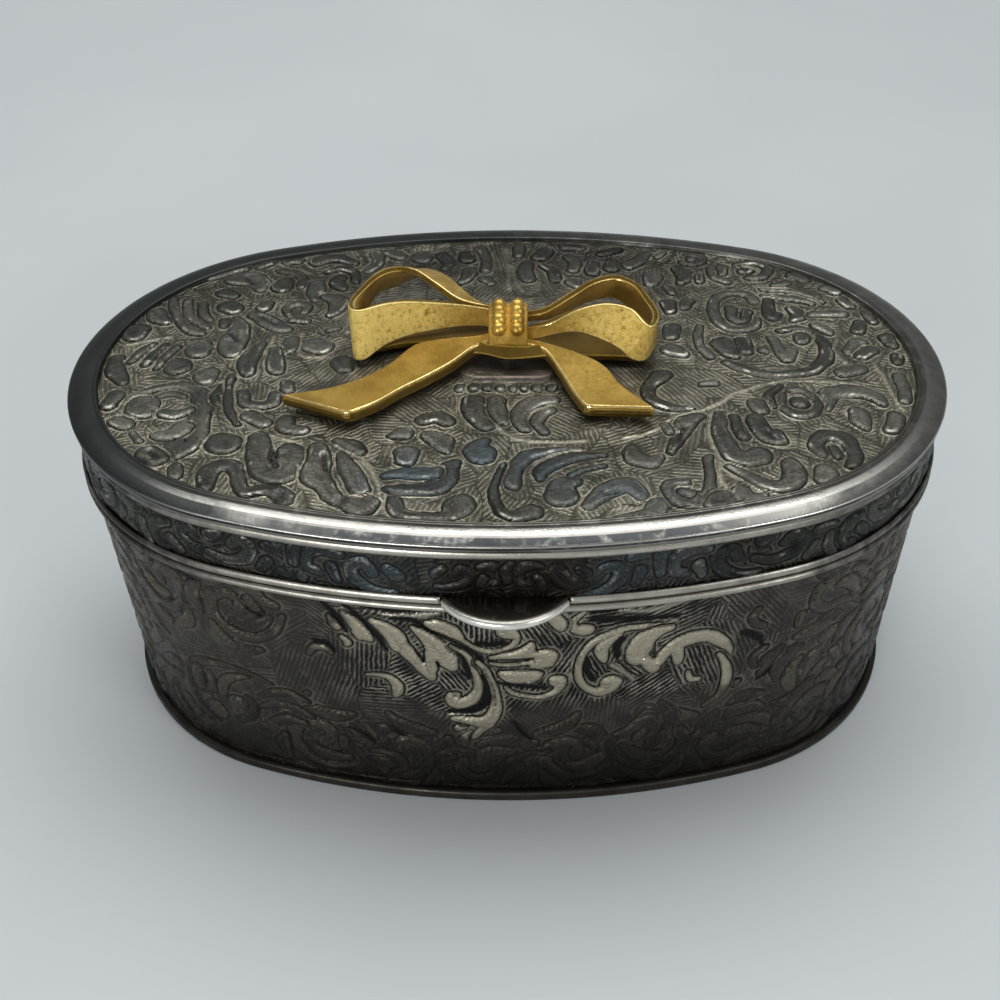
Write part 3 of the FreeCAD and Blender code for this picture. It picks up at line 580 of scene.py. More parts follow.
# Leaves of the wall's front, by distance along the outline and height: each is a row of strokes that join
wall_leaves = [
    [[(-15.9, 32.7, 0.4), (-14.4, 31.7, 1.0), (-13.2, 30.2, 1.3), (-12.7, 28.7, 1.2)],
     [(-12.8, 29.6, 1.0), (-12, 28, 1.0), (-11, 26.5, 0.9), (-10, 25, 0.9), (-9.2, 23.9, 0.8),
      (-8.9, 23.1, 0.4)],
     [(-8.9, 27.6, 0.7), (-8.9, 25.4, 0.7), (-9.0, 24.2, 0.6)],
     [(-10.9, 32.1, 0.3), (-9.6, 30.9, 0.8), (-8.6, 29.6, 1.2), (-7.8, 28.2, 1.6), (-7.2, 27, 1.5),
      (-6.7, 26, 1.0),
      (-6.4, 25.3, 0.7)]],
    [[(-19.4, 33.4, 0.4), (-18.4, 32.3, 0.8), (-17.6, 31, 0.9), (-16.9, 29.9, 0.8), (-16.3, 29.3, 0.4)],
     [(-18.1, 30.3, 0.5), (-17.6, 29.5, 0.5)]],
    [[(-21.2, 32.6, 0.3), (-20.8, 31.3, 0.6), (-20.4, 30.7, 0.5)]],
    [[(-19.9, 29, 0.4), (-19.3, 28.3, 0.5), (-19.5, 27.7, 0.3)]],
    [[(-9, 33, 0.5), (-7.9, 32.7, 1.0), (-6.6, 32.2, 1.1), (-5.6, 31.4, 0.8), (-4.9, 30.6, 0.4)],
     [(-5, 30.7, 0.35), (-3.3, 29, 0.32), (-1.8, 28.45, 0.34), (0, 28.7, 0.34), (1.4, 29.7, 0.36),
      (1.7, 30.9, 0.5),
      (0.5, 31.9, 1.25)]],
    [[(-1.5, 27.4, 0.25), (1, 27.8, 0.6), (2.8, 28.4, 0.9), (3.5, 29.7, 0.4)],
     [(2.8, 28, 0.8), (4.2, 27.6, 0.9), (5.5, 27.3, 1.4)],
     [(5.4, 26.7, 1.2), (4.2, 25.9, 0.7), (3.3, 25.7, 0.4)],
     [(-1.5, 26.3, 0.2), (0.5, 26.1, 0.28), (2.3, 26.2, 0.34), (3.8, 26.4, 0.5)]],
    [[(0, 24.5, 0.5), (0.9, 24, 1.0), (2.2, 23.8, 1.15), (3.6, 23.9, 1.0), (4.6, 24.3, 0.45)]],
    [[(0.3, 22, 0.2), (1.2, 20.9, 0.3), (3, 20.2, 0.36), (5, 20.1, 0.42), (6.6, 20.8, 0.45),
      (7.2, 21.9, 0.6),
      (6.9, 22.9, 1.05)]],
    [[(-6.3, 29.2, 0.2), (-4.8, 28, 0.35), (-3.9, 26.5, 0.4), (-3.4, 24.8, 0.45), (-3.1, 23, 0.5),
      (-3.2, 21.2, 0.6), (-3.9, 19.7, 0.85), (-5, 18.8, 0.95), (-6.2, 18.7, 0.95), (-6.4, 19.8, 0.9),
      (-5.9, 20.4, 0.5)]],
    [[(-3.1, 26.6, 0.25), (-2.1, 25.3, 0.4), (-1.5, 23.5, 0.42), (-1.1, 21.5, 0.48), (-0.9, 19.5, 0.55),
      (-1.1, 17.5, 0.8), (-1.7, 16, 1.0), (-2.8, 15.3, 1.0), (-4.2, 15.4, 0.8), (-5.4, 15.5, 0.6),
      (-6.6, 15.6, 0.4)],
     [(-1.9, 15, 0.8), (-2.8, 13.8, 0.55), (-3.6, 12.6, 0.5), (-4.1, 12, 0.2)]],
    [[(-17.3, 22.8, 0.2), (-15.6, 23, 0.3), (-14.4, 22.7, 0.5), (-13.6, 21.6, 0.7), (-13.5, 20.4, 0.7),
      (-13.9, 19.3, 0.35)]],
    [[(21, 31.3, 0.3), (19, 31.45, 0.4), (17, 31.5, 0.42), (15, 31.4, 0.42), (13, 30.7, 0.48),
      (11.2, 29.5, 0.5),
      (10, 27.8, 0.46), (9.4, 26, 0.44), (9.3, 24, 0.46), (9.8, 22.2, 0.5), (10.7, 21, 0.55),
      (12, 20.4, 0.7),
      (13.2, 20.9, 1.0), (13.6, 21.9, 1.35)],
     [(14.3, 30.6, 0.4), (13.1, 29.5, 0.7), (12.2, 28.2, 0.85), (12.3, 27, 0.7), (12.6, 26, 0.35)]],
    [[(20.8, 30.8, 0.5), (19.2, 30.4, 0.9), (17.6, 29.3, 1.3), (16.9, 27.8, 1.6), (16.8, 26.5, 1.5),
      (16.9, 25.8, 0.9)],
     [(17.8, 27.5, 0.9), (18, 26, 0.9), (18.6, 24.7, 1.1), (19, 23.9, 0.9)],
     [(19.6, 25, 0.8), (20.2, 26.2, 0.8), (21.2, 27.3, 0.9), (22.6, 28.1, 1.1), (24.3, 28.4, 1.1),
      (26, 28, 1.0),
      (27.4, 27, 0.9), (28.4, 25.8, 0.6), (29.1, 24.4, 0.2)],
     [(21.9, 26.6, 0.8), (22, 25.2, 0.7), (22.1, 24.4, 0.5)]],
    [[(9.9, 35, 0.25), (8.9, 34, 0.35), (8.5, 32.9, 0.4), (8.9, 32, 0.7), (9.8, 31.8, 1.0),
      (10.3, 31.8, 0.95)]],
    [[(6.4, 33.9, 0.9), (7, 33, 0.9), (7.2, 32.2, 0.45)]],
    [[(32, 31.3, 0.4), (31.3, 30, 0.55), (31.9, 28.8, 0.55), (33, 28.1, 0.5)]],
    [[(33.8, 24, 0.5), (32.6, 23.2, 0.5), (32.2, 22, 0.5), (32.8, 20.8, 0.4)]],
    [[(30.6, 18.6, 0.5), (30.4, 18, 0.4)]],
    [[(-24.8, 25.2, 0.3), (-23.9, 26.5, 0.5), (-22.4, 26.6, 0.5), (-21.7, 25.9, 0.3)]],
    [[(-18.4, 12.9, 0.3), (-17.5, 11.2, 0.5), (-17.1, 10.2, 0.2)]],
    [[(-20.6, 11.4, 0.2), (-19.4, 10.1, 0.3), (-17.9, 9.2, 0.2)]],
    [[(-26.3, 16.6, 0.4), (-25.8, 17.6, 0.35)]],
    [[(-31, 17.6, 0.3), (-34, 18.8, 0.4), (-38, 19, 0.5), (-41.5, 18.2, 0.7), (-44.3, 16, 0.8),
      (-45.7, 13, 0.9),
      (-45.6, 10, 1.0), (-44, 7.6, 0.8), (-41.5, 6.6, 0.5)]],
    [[(-43, 16.2, 0.8), (-43.5, 14.5, 1.1), (-43.4, 12.8, 0.9)]],
    [[(-34.4, 17.9, 0.3), (-36.6, 17.1, 0.6), (-38.4, 15.7, 0.8), (-39.2, 13.8, 0.8), (-38.9, 12.2, 0.6)]],
    [[(-37, 11.9, 1.5), (-36.9, 11.7, 1.5)]],
    [[(-41, 9.2, 1.6), (-40.6, 8.9, 1.5)]],
    [[(-40.8, 16.4, 0.4), (-41, 14.5, 0.6), (-40.7, 12.6, 0.4)]],
    [[(-35.1, 13.7, 0.4), (-34.3, 12, 0.6), (-35.2, 9.8, 0.7), (-37.3, 8.6, 0.6)]],
    [[(-33, 14.8, 0.3), (-30.8, 16.2, 0.6), (-28.2, 16.6, 0.6), (-26, 15.6, 0.3)]],
    [[(-33, 12.6, 0.3), (-30.8, 13.9, 0.6), (-28, 13.9, 0.6), (-25.6, 12.6, 0.3)]],
    [[(-32, 10.2, 0.3), (-29.6, 11.4, 0.6), (-27, 11.2, 0.4)]],
    [[(23.6, 22.2, 0.3), (24, 20.9, 0.5), (25.2, 20.6, 0.3)]],
    [[(27.4, 24.6, 0.3), (28.6, 22.2, 0.6), (29, 19.4, 0.7), (28.3, 16.6, 0.6), (26.4, 15, 0.3)]],
    [[(17.4, 15.6, 0.3), (18.2, 16.6, 0.5), (19.8, 16.2, 0.3)]],
    [[(20.4, 17.2, 0.3), (21.6, 15.2, 0.7), (21.8, 12.2, 0.8), (20.6, 9.6, 0.5)]],
    [[(-8.8, 8.4, 0.3), (-6.8, 9.6, 0.5), (-4.2, 9.2, 0.3)]],
    [[(-18.2, 7.6, 0.3), (-16.2, 7.8, 0.5), (-14.2, 6.8, 0.6), (-13.6, 4.8, 0.5), (-15, 3.8, 0.5)]],
]
wall_cuts = [
    [(-12.5, 32.3, 0.16), (-11.5, 30.4, 0.24), (-10.8, 28.6, 0.28), (-10.2, 27.1, 0.3), (-9.9, 26.1, 0.2)],
    [(-11.3, 31.8, 0.12), (-10.4, 30.2, 0.16), (-9.8, 28.6, 0.16)],
    [(-1.2, 26.8, 0.16), (1.2, 26.9, 0.22), (3.6, 27.1, 0.2)],
    [(-0.6, 25.6, 0.2), (1.2, 25.5, 0.26), (3.0, 25.7, 0.24)],
    [(23, 30.4, 0.3), (21, 29.3, 0.36), (19.4, 27.9, 0.42), (18.7, 26.6, 0.48), (18.9, 25.9, 0.4)],
    [(-6.2, 20.1, 0.12), (-6.0, 20.0, 0.12)],
    [(-2.2, 25.2, 0.07), (-1.25, 22, 0.1), (-1.05, 18.6, 0.1)],
    [(-8.2, 26.2, 0.2), (-7.9, 25, 0.3), (-7.6, 24.4, 0.3)],
]
wall_ridges = [
    [(-14.8, 34.2, 0.15), (-12, 33.9, 0.15), (-9.6, 34.2, 0.15), (-7.6, 34.9, 0.15)],
    [(13.8, 34.8, 0.15), (16.6, 34.2, 0.15), (20, 34.5, 0.15), (22.8, 35.2, 0.15)],
    [(13.6, 25.2, 0.15), (15, 23.9, 0.15), (16.4, 22.2, 0.15)],
    [(16.6, 16, 0.2), (20, 13.6, 0.2), (26, 12.6, 0.2), (31, 16, 0.2), (36, 19.6, 0.2), (39, 20.6, 0.2)],
]
wall_grooves = [
    [(-22.6, 35.6, 0.3), (-21, 33.8, 0.35), (-20, 32, 0.4), (-19.4, 30.2, 0.3)],
    [(-19.8, 35.4, 0.3), (-17.8, 33.4, 0.35), (-16.2, 31.2, 0.4), (-15, 29.2, 0.35), (-14.4, 27.6, 0.2)],
    [(-17.6, 35.2, 0.4), (-13, 34.8, 0.5), (-8, 35.4, 0.3)],
    [(-13.4, 33.2, 0.3), (-10.8, 33.2, 0.4), (-8.6, 31.6, 0.35), (-6.4, 30.2, 0.3), (-4, 28.4, 0.3),
     (-2.6, 26.8, 0.25)],
    [(-5.2, 28, 0.4), (-4.4, 25.8, 0.5), (-4.2, 23.4, 0.3)],
    [(-2.4, 23.8, 0.35), (-2.1, 20.8, 0.5), (-2.6, 18.4, 0.6), (-4.6, 17.2, 0.5), (-7, 16.9, 0.3)],
    [(-3, 29.7, 0.4), (-1.4, 29.5, 0.4), (0.2, 29.8, 0.4)],
    [(-1, 22.8, 0.3), (2.6, 22, 0.3), (5, 21.6, 0.3)],
    [(10.2, 26.6, 0.4), (10.4, 24.4, 0.5), (11.2, 22.8, 0.5)],
    [(11, 33.6, 0.5), (14, 33.2, 0.4), (18, 32.8, 0.35), (21.6, 32.6, 0.3)],
    [(10.8, 35, 0.4), (15, 35.2, 0.4), (21, 35.8, 0.3)],
    [(14.6, 29.8, 0.4), (14, 28.4, 0.45), (14.2, 26.6, 0.4)],
    [(-20.8, 11.9, 0.3), (-18.8, 10.9, 0.4), (-17.6, 9.4, 0.3)],
    [(-15.4, 13.2, 0.3), (-13.4, 11.4, 0.4), (-11.8, 10, 0.3)],
    [(-23.6, 27.6, 0.4), (-22.2, 27.5, 0.4), (-21.2, 26.3, 0.3)],
    [(1.2, 15.2, 0.2), (2.6, 12.8, 0.25), (4.4, 10.4, 0.2)],
    [(-50, 30, 0.3), (-47, 29.4, 0.45), (-44.4, 27.8, 0.5), (-42, 25.4, 0.35)],
    [(-41.8, 34.4, 0.3), (-39.4, 33.8, 0.3)],
    [(-35.2, 33, 0.3), (-33, 31.4, 0.4), (-30.4, 30.4, 0.3)],
    [(-32.2, 33, 0.3), (-30, 31.2, 0.35)],
    [(30.4, 27.6, 0.5), (32.4, 26.4, 0.5), (33.2, 24.8, 0.3)],
    [(33.6, 18.2, 0.3), (36.4, 20.2, 0.4), (38.6, 21, 0.3)],
    [(50, 26, 0.3), (52.2, 27.2, 0.6), (54, 26.8, 0.4)],
    [(47, 13.6, 0.3), (50.2, 15.4, 0.4), (51.4, 18.2, 0.3)],
]
# Middle and direction of each patch of hatching on the front
wall_patches = [
    (-3.2, 31.6, 88), (5.6, 30.9, -62), (8, 27.2, 62), (-11.6, 24.2, 36), (-10.6, 20.4, 38),
    (-6, 23.6, -60),
    (-17, 25.6, 84), (11.2, 24.6, -66), (15, 24, -48), (16.6, 20.2, 38), (8.6, 18.8, 70), (13, 17.2, 86),
    (19.5, 33.6, 24), (13, 33.4, 8), (3.6, 21.4, 55), (13.8, 27.6, 70), (-13, 17.4, 4), (26, 25, -70),
    (-8.5, 12.5, 60), (4, 13, -50), (-24, 21, 70),
]

# Scrolls with their leaves, for the parts of the wall and frieze that only show as dark scrollwork
scroll_unit = [
    [(-6.2, -4.6, 0.3), (-3, -6.1, 0.45), (1, -5.9, 0.6), (4.2, -3.2, 0.75), (4.6, 0.8, 0.8),
     (2.2, 3.6, 0.8),
     (-1, 3.2, 0.7), (-1.9, 1, 0.6), (-0.4, -0.6, 0.8)],
    [(-6.8, -2.6, 0.35), (-5.6, -0.6, 0.7), (-5.6, 2.2, 0.9), (-4.4, 4.2, 0.5)],
    [(-6.4, 6.6, 0.35), (-4, 5.9, 0.8), (-1.4, 6.3, 0.9), (1, 7.6, 0.4)],
    [(6.6, -5.8, 0.35), (7.3, -2.8, 0.9), (6.4, -0.2, 0.4)],
    [(7.2, 2.2, 0.4), (6, 4.6, 0.9), (4, 6.2, 0.8), (2.4, 6.2, 0.4)],
    [(-4, -3.8, 0.4), (-1.6, -3.9, 0.8), (0.8, -3.3, 0.8), (2.2, -1.6, 0.4)],
    [(2.6, -8, 0.3), (4.8, -7.2, 0.6), (6, -7.4, 0.3)],
    [(-3.6, 0.6, 0.5), (-3.4, -1.4, 0.5)],
]
plume_unit = [
    [(-7, -6.5, 0.3), (-4, -4.5, 0.4), (-0.5, -3.6, 0.5), (3, -4, 0.6), (5.6, -2.4, 0.7), (5.8, 0.4, 0.7),
     (4, 1.4, 0.8)],
    [(-5.6, -2.6, 0.4), (-4.6, 0.2, 0.9), (-2.4, 2, 0.8), (-0.6, 2.2, 0.3)],
    [(-3, -2.4, 0.4), (-1.6, -0.6, 0.8), (0.6, 0.4, 0.7), (2, 0, 0.3)],
    [(-5.4, 2.6, 0.4), (-3.4, 4.6, 1), (-0.6, 5, 0.8), (0.8, 4.2, 0.3)],
    [(-6.2, 6.2, 0.3), (-3.6, 7.4, 0.8), (-1, 7.4, 0.4)],
    [(1.6, 6.8, 0.4), (3.4, 5.4, 0.9), (5.2, 3.6, 0.7), (6.8, 3.6, 0.3)],
    [(-1.6, -6.8, 0.4), (1, -6.2, 0.8), (3.6, -6.6, 0.4)],
    [(7.4, -6, 0.5), (7.6, -4.4, 0.6)],
]
frieze_unit = [
    [(-5.2, -1.3, 0.3), (-3.2, -1.6, 0.45), (-1.2, -0.9, 0.55), (-0.4, 0.6, 0.55), (-1.6, 1.4, 0.5),
     (-2.6, 0.5, 0.4)],
    [(-5, 0.9, 0.6), (-4.1, 1.5, 0.5)],
    [(0.9, 1.6, 0.4), (2.6, 1.5, 0.6), (3.9, 0.4, 0.6), (3.6, -1.1, 0.5), (2.3, -1.3, 0.4)],
    [(0.6, -1.5, 0.4), (1.3, -0.3, 0.5)],
    [(4.9, -1.4, 0.4), (5.3, 0.4, 0.5), (4.9, 1.6, 0.4)],
]


def placed(unit, across, up, size, turn, flip, swell):
    """A motif unit moved to a place, turned, perhaps mirrored, and made fuller; each stroke is a leaf."""
    c = math.cos(turn) * size
    s = math.sin(turn) * size
    return [[[(across + flip * x * c - y * s, up + flip * x * s + y * c, radius * size * swell)
              for x, y, radius in stroke]] for stroke in unit]


# Surfaces with embossing
ground_drop = 0.3
dome_width = 0.6
line_rise = 0.1
hatch_depth = 0.05
hatch_start = 0.3
hatch_fade = 0.2


def hatching(edge, phase):
    """Depth of the ground's engraved hatching, which starts a little way from the motifs."""
    return hatch_depth * np.sin(2 * math.pi * phase) * np.clip((edge - hatch_start) / hatch_fade, 0, 1)


def hump(place, middle, reach, power=2):
    """Share that is 1 at a middle and fades away from it on both sides."""
    return np.exp(-((place - middle) / reach) ** power)


def spots(u, v, table, total=0.0):
    """Soft spots added up: rows of strength, middle across and up, reach across and up, and power."""
    for strength, middle_u, middle_v, reach_u, reach_v, power in table:
        across = ((u - middle_u) / reach_u) ** power
        total = total + strength * np.exp(-across - ((v - middle_v) / reach_v) ** power)
    return total


def band_runs(first, last, step, coarse_count):
    """Places round the outline: close together between two places in front, wider apart behind."""
    coarse = last + np.linspace(0, perimeter - (last - first), coarse_count)[:-1]
    return np.concatenate([np.arange(first, last, step), coarse])


# Lid plate, rubbed bright by handling in front, in painted shade round the bow and towards the back, with
# spots of blue tarnish
lid_columns = 384
lid_rows = 244
lid_outline_count = 4001
lid_play = 0.05
lid_end_play = 0.04
lid_motif_growth = 0.12
lid_waver = 0.28
lid_crease_depth = 0.05
lid_crease_place = 0.05
lid_crease_reach = 0.15
cartouche_slope = 0.35
cartouche_margin = 0.25
arch_count = 8
arch_first = -5.6
arch_pitch = 1.68
arch_low = (-5.6, 0.62)
arch_high = (-5.15, 0.6)
lid_rub_share = 0.16
# Rub spots; the one of minus strength round the bow is painted shade, which dulls the hatching there
lid_rub_and_bow_shade_spots = ((0.12, 4.0, -14.0, 40.0, 16.0, 2), (-0.6, 0.0, 7.0, 25.0, 17.0, 4))
lid_blue_spots = ((1.0, -11.0, -24.0, 6.0, 5.0, 2), (1.0, 3.0, -21.0, 6.0, 6.0, 2),
                  (0.8, 14.0, -27.0, 6.0, 4.0, 2), (0.9, -3.0, -19.0, 3.0, 2.5, 2))
# Painted shade: darker towards the back, in random clouds
lid_shade_start = 8.0
lid_shade_reach = 24.0
lid_shade_share = 0.55
lid_cloud_size = 11.0
lid_cloud_share = 0.25
lid_cloud_seed = 9


def lid_plate(material):
    """Embossed top plate: a fine grid over the oval, with a blank cartouche, closed by a plain underside."""
    inset = rim_breadth + lid_play
    edge_x, edge_y = outline(np.linspace(side_run + end_run + side_run, 0, lid_outline_count), inset)[:2]
    reach_y = half_width - inset - lid_end_play
    y = np.linspace(-reach_y, reach_y, lid_rows)
    reach_x = np.interp(y, edge_y[::-1], edge_x[::-1])
    u = (np.linspace(-1, 1, lid_columns)[None, :] * reach_x[:, None]).ravel()
    v = np.repeat(y, lid_columns)
    places = np.stack([u, v, np.zeros_like(u)], -1)
    arches = [[(arch_first + arch_pitch * k, *arch_low), (arch_first + arch_pitch * k, *arch_high)]
              for k in range(arch_count)]
    edge, phase, line, tone = emboss(u, v, places, [[stroke] for stroke in lid_motifs + arches],
                                     lid_motif_growth, lid_waver, lid_cuts, lid_ridges)
    low = plate_top - ground_drop
    z = low + dome(edge, dome_width, ground_drop) + line_rise * line * (edge > 0) + hatching(edge, phase)
    z -= lid_crease_depth * np.clip(1 - np.abs(edge - lid_crease_place) / lid_crease_reach, 0, 1)
    flat_x = np.abs(u - cartouche_middle) - (cartouche_length / 2 - cartouche_corner)
    flat_y = np.abs(v) - (cartouche_width / 2 - cartouche_corner)
    plaque = (np.hypot(np.maximum(flat_x, 0), np.maximum(flat_y, 0))
              + np.minimum(np.maximum(flat_x, flat_y), 0) - cartouche_corner)
    z = np.where(plaque < 0, low + dome(plaque, cartouche_slope, plate_top + cartouche_rise - low), z)
    near = plaque < cartouche_margin
    shade = (lid_shade_share * np.clip((v - lid_shade_start) / lid_shade_reach, 0, 1)
             + lid_cloud_share * ripple(places, lid_cloud_size, lid_cloud_seed))
    values = {
        "edge": np.where(near, motif_reach, edge),
        "phase": np.where(near, 0, phase),
        "ridge": np.where(near, 0, line),
        "tone": tone,
        # Rubbed in front, in painted shade round the bow
        "rub": spots(u, v, lid_rub_and_bow_shade_spots, lid_rub_share),
        "blue": np.clip(spots(u, v, lid_blue_spots), 0, 1),
        "brown": np.where(plaque < 0, 1.0, 0.0),
        "shade": np.clip(shade, 0, 1),
    }
    top = np.stack([u, v, z], -1)
    middle_rows = np.arange(1, lid_rows - 1)
    ring = np.concatenate([np.arange(lid_columns), (middle_rows + 1) * lid_columns - 1,
                           (lid_rows - 1) * lid_columns + np.arange(lid_columns)[::-1],
                           middle_rows[::-1] * lid_columns])
    low_ring = top[ring].copy()
    low_ring[:, 2] = plate_bottom
    count = len(top)
    around = len(ring)
    faces = [tuple(face) for face in grid_quads(lid_rows, lid_columns)]
    faces += [(ring[k], count + k, count + (k + 1) % around, ring[(k + 1) % around]) for k in range(around)]
    faces.append(tuple(count + k for k in range(around))[::-1])
    values = {key: np.concatenate([row, row[ring]]) for key, row in values.items()}
    points = np.concatenate([top, low_ring])
    return make_piece("lid_plate_relief", points, faces, material, "lid", ["lid_plate"],
                      values)


def wrapped(run):
    """A distance along the outline, taken to lie within half a round of the front's middle."""
    return np.mod(run + perimeter / 2, perimeter) - perimeter / 2


band_end = 0.3
band_line_rise = 0.12


def band_relief(name, node_names, material, body, runs, heights, inset_at, thickness, depth, drawing, tones):
    """An embossed band round the box: a fine outer face, closed by a plain inner one."""
    run, height = np.meshgrid(runs, heights)
    u = wrapped(run.ravel())
    v = height.ravel()
    x, y, out_x, out_y = outline(u, 0.0)
    edge, phase, line, tone = emboss(u, v, np.stack([x, y, v], -1), **drawing)
    ends = np.clip(np.minimum(v - heights[0], heights[-1] - v) / band_end, 0, 1)
    sunk = depth * (1 - dome(edge, dome_width, 1.0)) - band_line_rise * line * (edge > 0)
    sunk -= hatching(edge, phase)
    inset = inset_at(v) + np.maximum(sunk, 0) * ends
    parts = [np.stack([x - out_x * inset, y - out_y * inset, v], -1)]
    x, y, out_x, out_y = outline(wrapped(runs), 0.0)
    for level in (heights[-1], heights[0]):
        deep = inset_at(level) + thickness
        parts.append(np.stack([x - out_x * deep, y - out_y * deep, np.full(len(runs), level)], -1))
    faces = grid_quads(len(heights) + 2, len(runs), True, True)
    values = {"edge": edge, "phase": phase, "ridge": line, "tone": tone}
    for key in ("rub", "blue", "brown", "shade"):
        values[key] = tones[key](u, v) if key in tones else np.zeros_like(u)
    inner_count = 2 * len(runs)
    values = {key: np.concatenate([row, np.full(inner_count, motif_reach if key == "edge" else 0.0)])
              for key, row in values.items()}
    return make_piece(name, np.concatenate(parts), faces, material, body, node_names, values)


# Body wall: three rows of leaves, left out where the front and the left plume are drawn one by one
wall_leaf_rows = ((30.6, 0.85), (19.6, 0.9), (8.6, 0.85))
wall_leaf_pitch = 13.2
wall_row_shift_share = 0.4
wall_leaf_reach = 7.0
wall_leaf_lean = 0.8
wall_leaf_swell = 1.45
wall_leaf_rise = 0.7
wall_leaf_turn = 1.7
front_first = -27.0
front_last = 37.0
front_bottom = 5.0
plume_first = -47.0
plume_last = -30.0
plume_top = 22.0
wall_growth = 0.05
wall_waver = 0.14
wall_depth = 0.28
wall_fine_bottom = 11.0
wall_top_play = 0.02
wall_fine_first = -33.0
wall_fine_step = 0.21
wall_low_rows = 26
wall_high_rows = 92
wall_coarse_columns = 462
wall_rub_spots = ((0.3, 33.0, 25.0, 7.0, 9.0, 2), (0.16, -24.0, 18.0, 8.0, 12.0, 2))
wall_rub_share = 0.02
wall_rub_front = (4.0, 24.5, 8)
wall_rub_fade = 3.0
wall_rub_bottom = 17.0
wall_rub_dip = 6.5
wall_rub_dip_place = (-4.0, 4.0)
wall_shade_fade = 12.0
wall_shade_share = 0.62
wall_shade_front_share = 0.28
wall_shade_front = (8.0, 26.0, 4)


def body_wall(material):
    leaves = []
    for row, (height, size) in enumerate(wall_leaf_rows):
        count = int(perimeter / (wall_leaf_pitch * size))
        for k in range(count):
            run = wrapped((k + wall_row_shift_share * row) * perimeter / count)
            in_front = height - wall_leaf_reach * size > front_bottom and front_first < run < front_last
            if in_front or height < plume_top and plume_first < run < plume_last:
                continue
            unit = plume_unit if (k + row) % 3 == 1 else scroll_unit
            up = height + wall_leaf_rise * math.sin(k * wall_leaf_turn)
            lean = wall_leaf_lean * math.sin(k * golden_turn + row)
            leaves += placed(unit, run, up, size, lean, 1 if k % 2 else -1, wall_leaf_swell)
    low_heights = np.linspace(foot_height, wall_fine_bottom, wall_low_rows)[:-1]
    high_heights = np.linspace(wall_fine_bottom, split_height - wall_top_play, wall_high_rows)
    heights = np.concatenate([low_heights, high_heights])
    runs = band_runs(wall_fine_first, front_last, wall_fine_step, wall_coarse_columns)

    def rub(u, v):
        low = wall_rub_bottom - wall_rub_dip * hump(u, *wall_rub_dip_place)
        front = hump(u, *wall_rub_front) * np.clip((v - low) / wall_rub_fade, 0, 1)
        return np.clip(spots(u, v, wall_rub_spots, front) + wall_rub_share, 0, 1)

    def shade(u, v):
        low = np.clip((wall_rub_bottom - v) / wall_shade_fade, 0, 1)
        return low * (wall_shade_share + wall_shade_front_share * hump(u, *wall_shade_front))

    drawing = {"groups": leaves + wall_leaves, "grow": wall_growth, "waver": wall_waver, "cuts": wall_cuts,
               "ridges": wall_ridges, "grooves": wall_grooves, "patches": wall_patches}
    return band_relief("body_wall_relief", ["body_wall"], material, "body", runs, heights, wall_inset,
                       wall_thickness, wall_depth, drawing, {"rub": rub, "shade": shade})


# Lid skirt: a frieze of small scrolls, with a panel over the tab in painted shade, dark brown, where the tab
# keeps the light off it
skirt_thickness = 1.2
skirt_depth = 0.24
skirt_growth = 0.02
skirt_waver = 0.22
frieze_pitch = 10.8
frieze_shift = 3.5
frieze_size_share = 1.22
frieze_swell = 1.35
frieze_step = 0.8
frieze_step_turn = 2.9
frieze_lean = 0.3
frieze_lean_turn = 1.9
panel_first = -7.5
panel_last = 10.0
panel_units = ((-3.0, 0.1, 1), (5.4, -0.1, -1))
panel_size_share = 0.9
panel_swell = 1.4
panel_left = -7.6
panel_right = 10.1
panel_shade_fade = 0.4
panel_foot = 0.2
panel_head = 1.3
panel_line_radius = 0.15
skirt_rows = 46
skirt_fine_reach = 60.0
skirt_fine_step = 0.2
skirt_coarse_columns = 380
skirt_rub_share = 0.06
skirt_rub_side_share = 0.22
skirt_rub_side = (30.0, 22.0)
skirt_blue_places = ((-17.0, 10.0), (15.0, 8.0))
skirt_cloud_share = 0.6
skirt_cloud_size = 5.0
skirt_cloud_seed = 12


def lid_skirt(material):
    middle = (lid_bead_top + frieze_top) / 2
    count = int(perimeter / frieze_pitch)
    leaves = []
    for k in range(count):
        run = wrapped(k * perimeter / count + frieze_shift)
        if panel_first < run < panel_last:
            continue
        run += frieze_step * math.sin(k * frieze_step_turn)
        lean = frieze_lean * math.sin(k * frieze_lean_turn)
        leaves += placed(frieze_unit, run, middle, frieze_size_share, lean, 1 if k % 2 else -1, frieze_swell)
    for place, lean, flip in panel_units:
        leaves += placed(frieze_unit, place, middle, panel_size_share, lean, flip, panel_swell)
    panel_edges = [[(low, lid_bottom + panel_foot, panel_line_radius),
                    (high, rim_bottom - panel_head, panel_line_radius)]
                   for low, high in ((panel_left, panel_first), (panel_right, panel_last))]

    def inset(v):
        return np.full_like(np.asarray(v, float), skirt_inset)

    def rub(u, v):
        return skirt_rub_share + skirt_rub_side_share * hump(u, *skirt_rub_side)

    def blue(u, v):
        places = np.stack([u, v, np.zeros_like(u)], -1)
        cloud = skirt_cloud_share + skirt_cloud_share * ripple(places, skirt_cloud_size, skirt_cloud_seed)
        return np.clip(sum(hump(u, *place) for place in skirt_blue_places) * cloud, 0, 1)

    # Painted shade on the panel over the tab
    def brown(u, v):
        return np.clip(np.minimum((u - panel_left) / panel_shade_fade, (panel_right - u) / panel_shade_fade), 0, 1)

    return band_relief("lid_skirt_relief", ["lid_skirt"], material, "lid",
                       band_runs(-skirt_fine_reach, skirt_fine_reach, skirt_fine_step, skirt_coarse_columns),
                       np.linspace(lid_bottom, rim_bottom, skirt_rows), inset, skirt_thickness, skirt_depth,
                       {"groups": leaves, "grow": skirt_growth, "waver": skirt_waver, "grooves": panel_edges},
                       {"rub": rub, "blue": blue, "brown": brown})


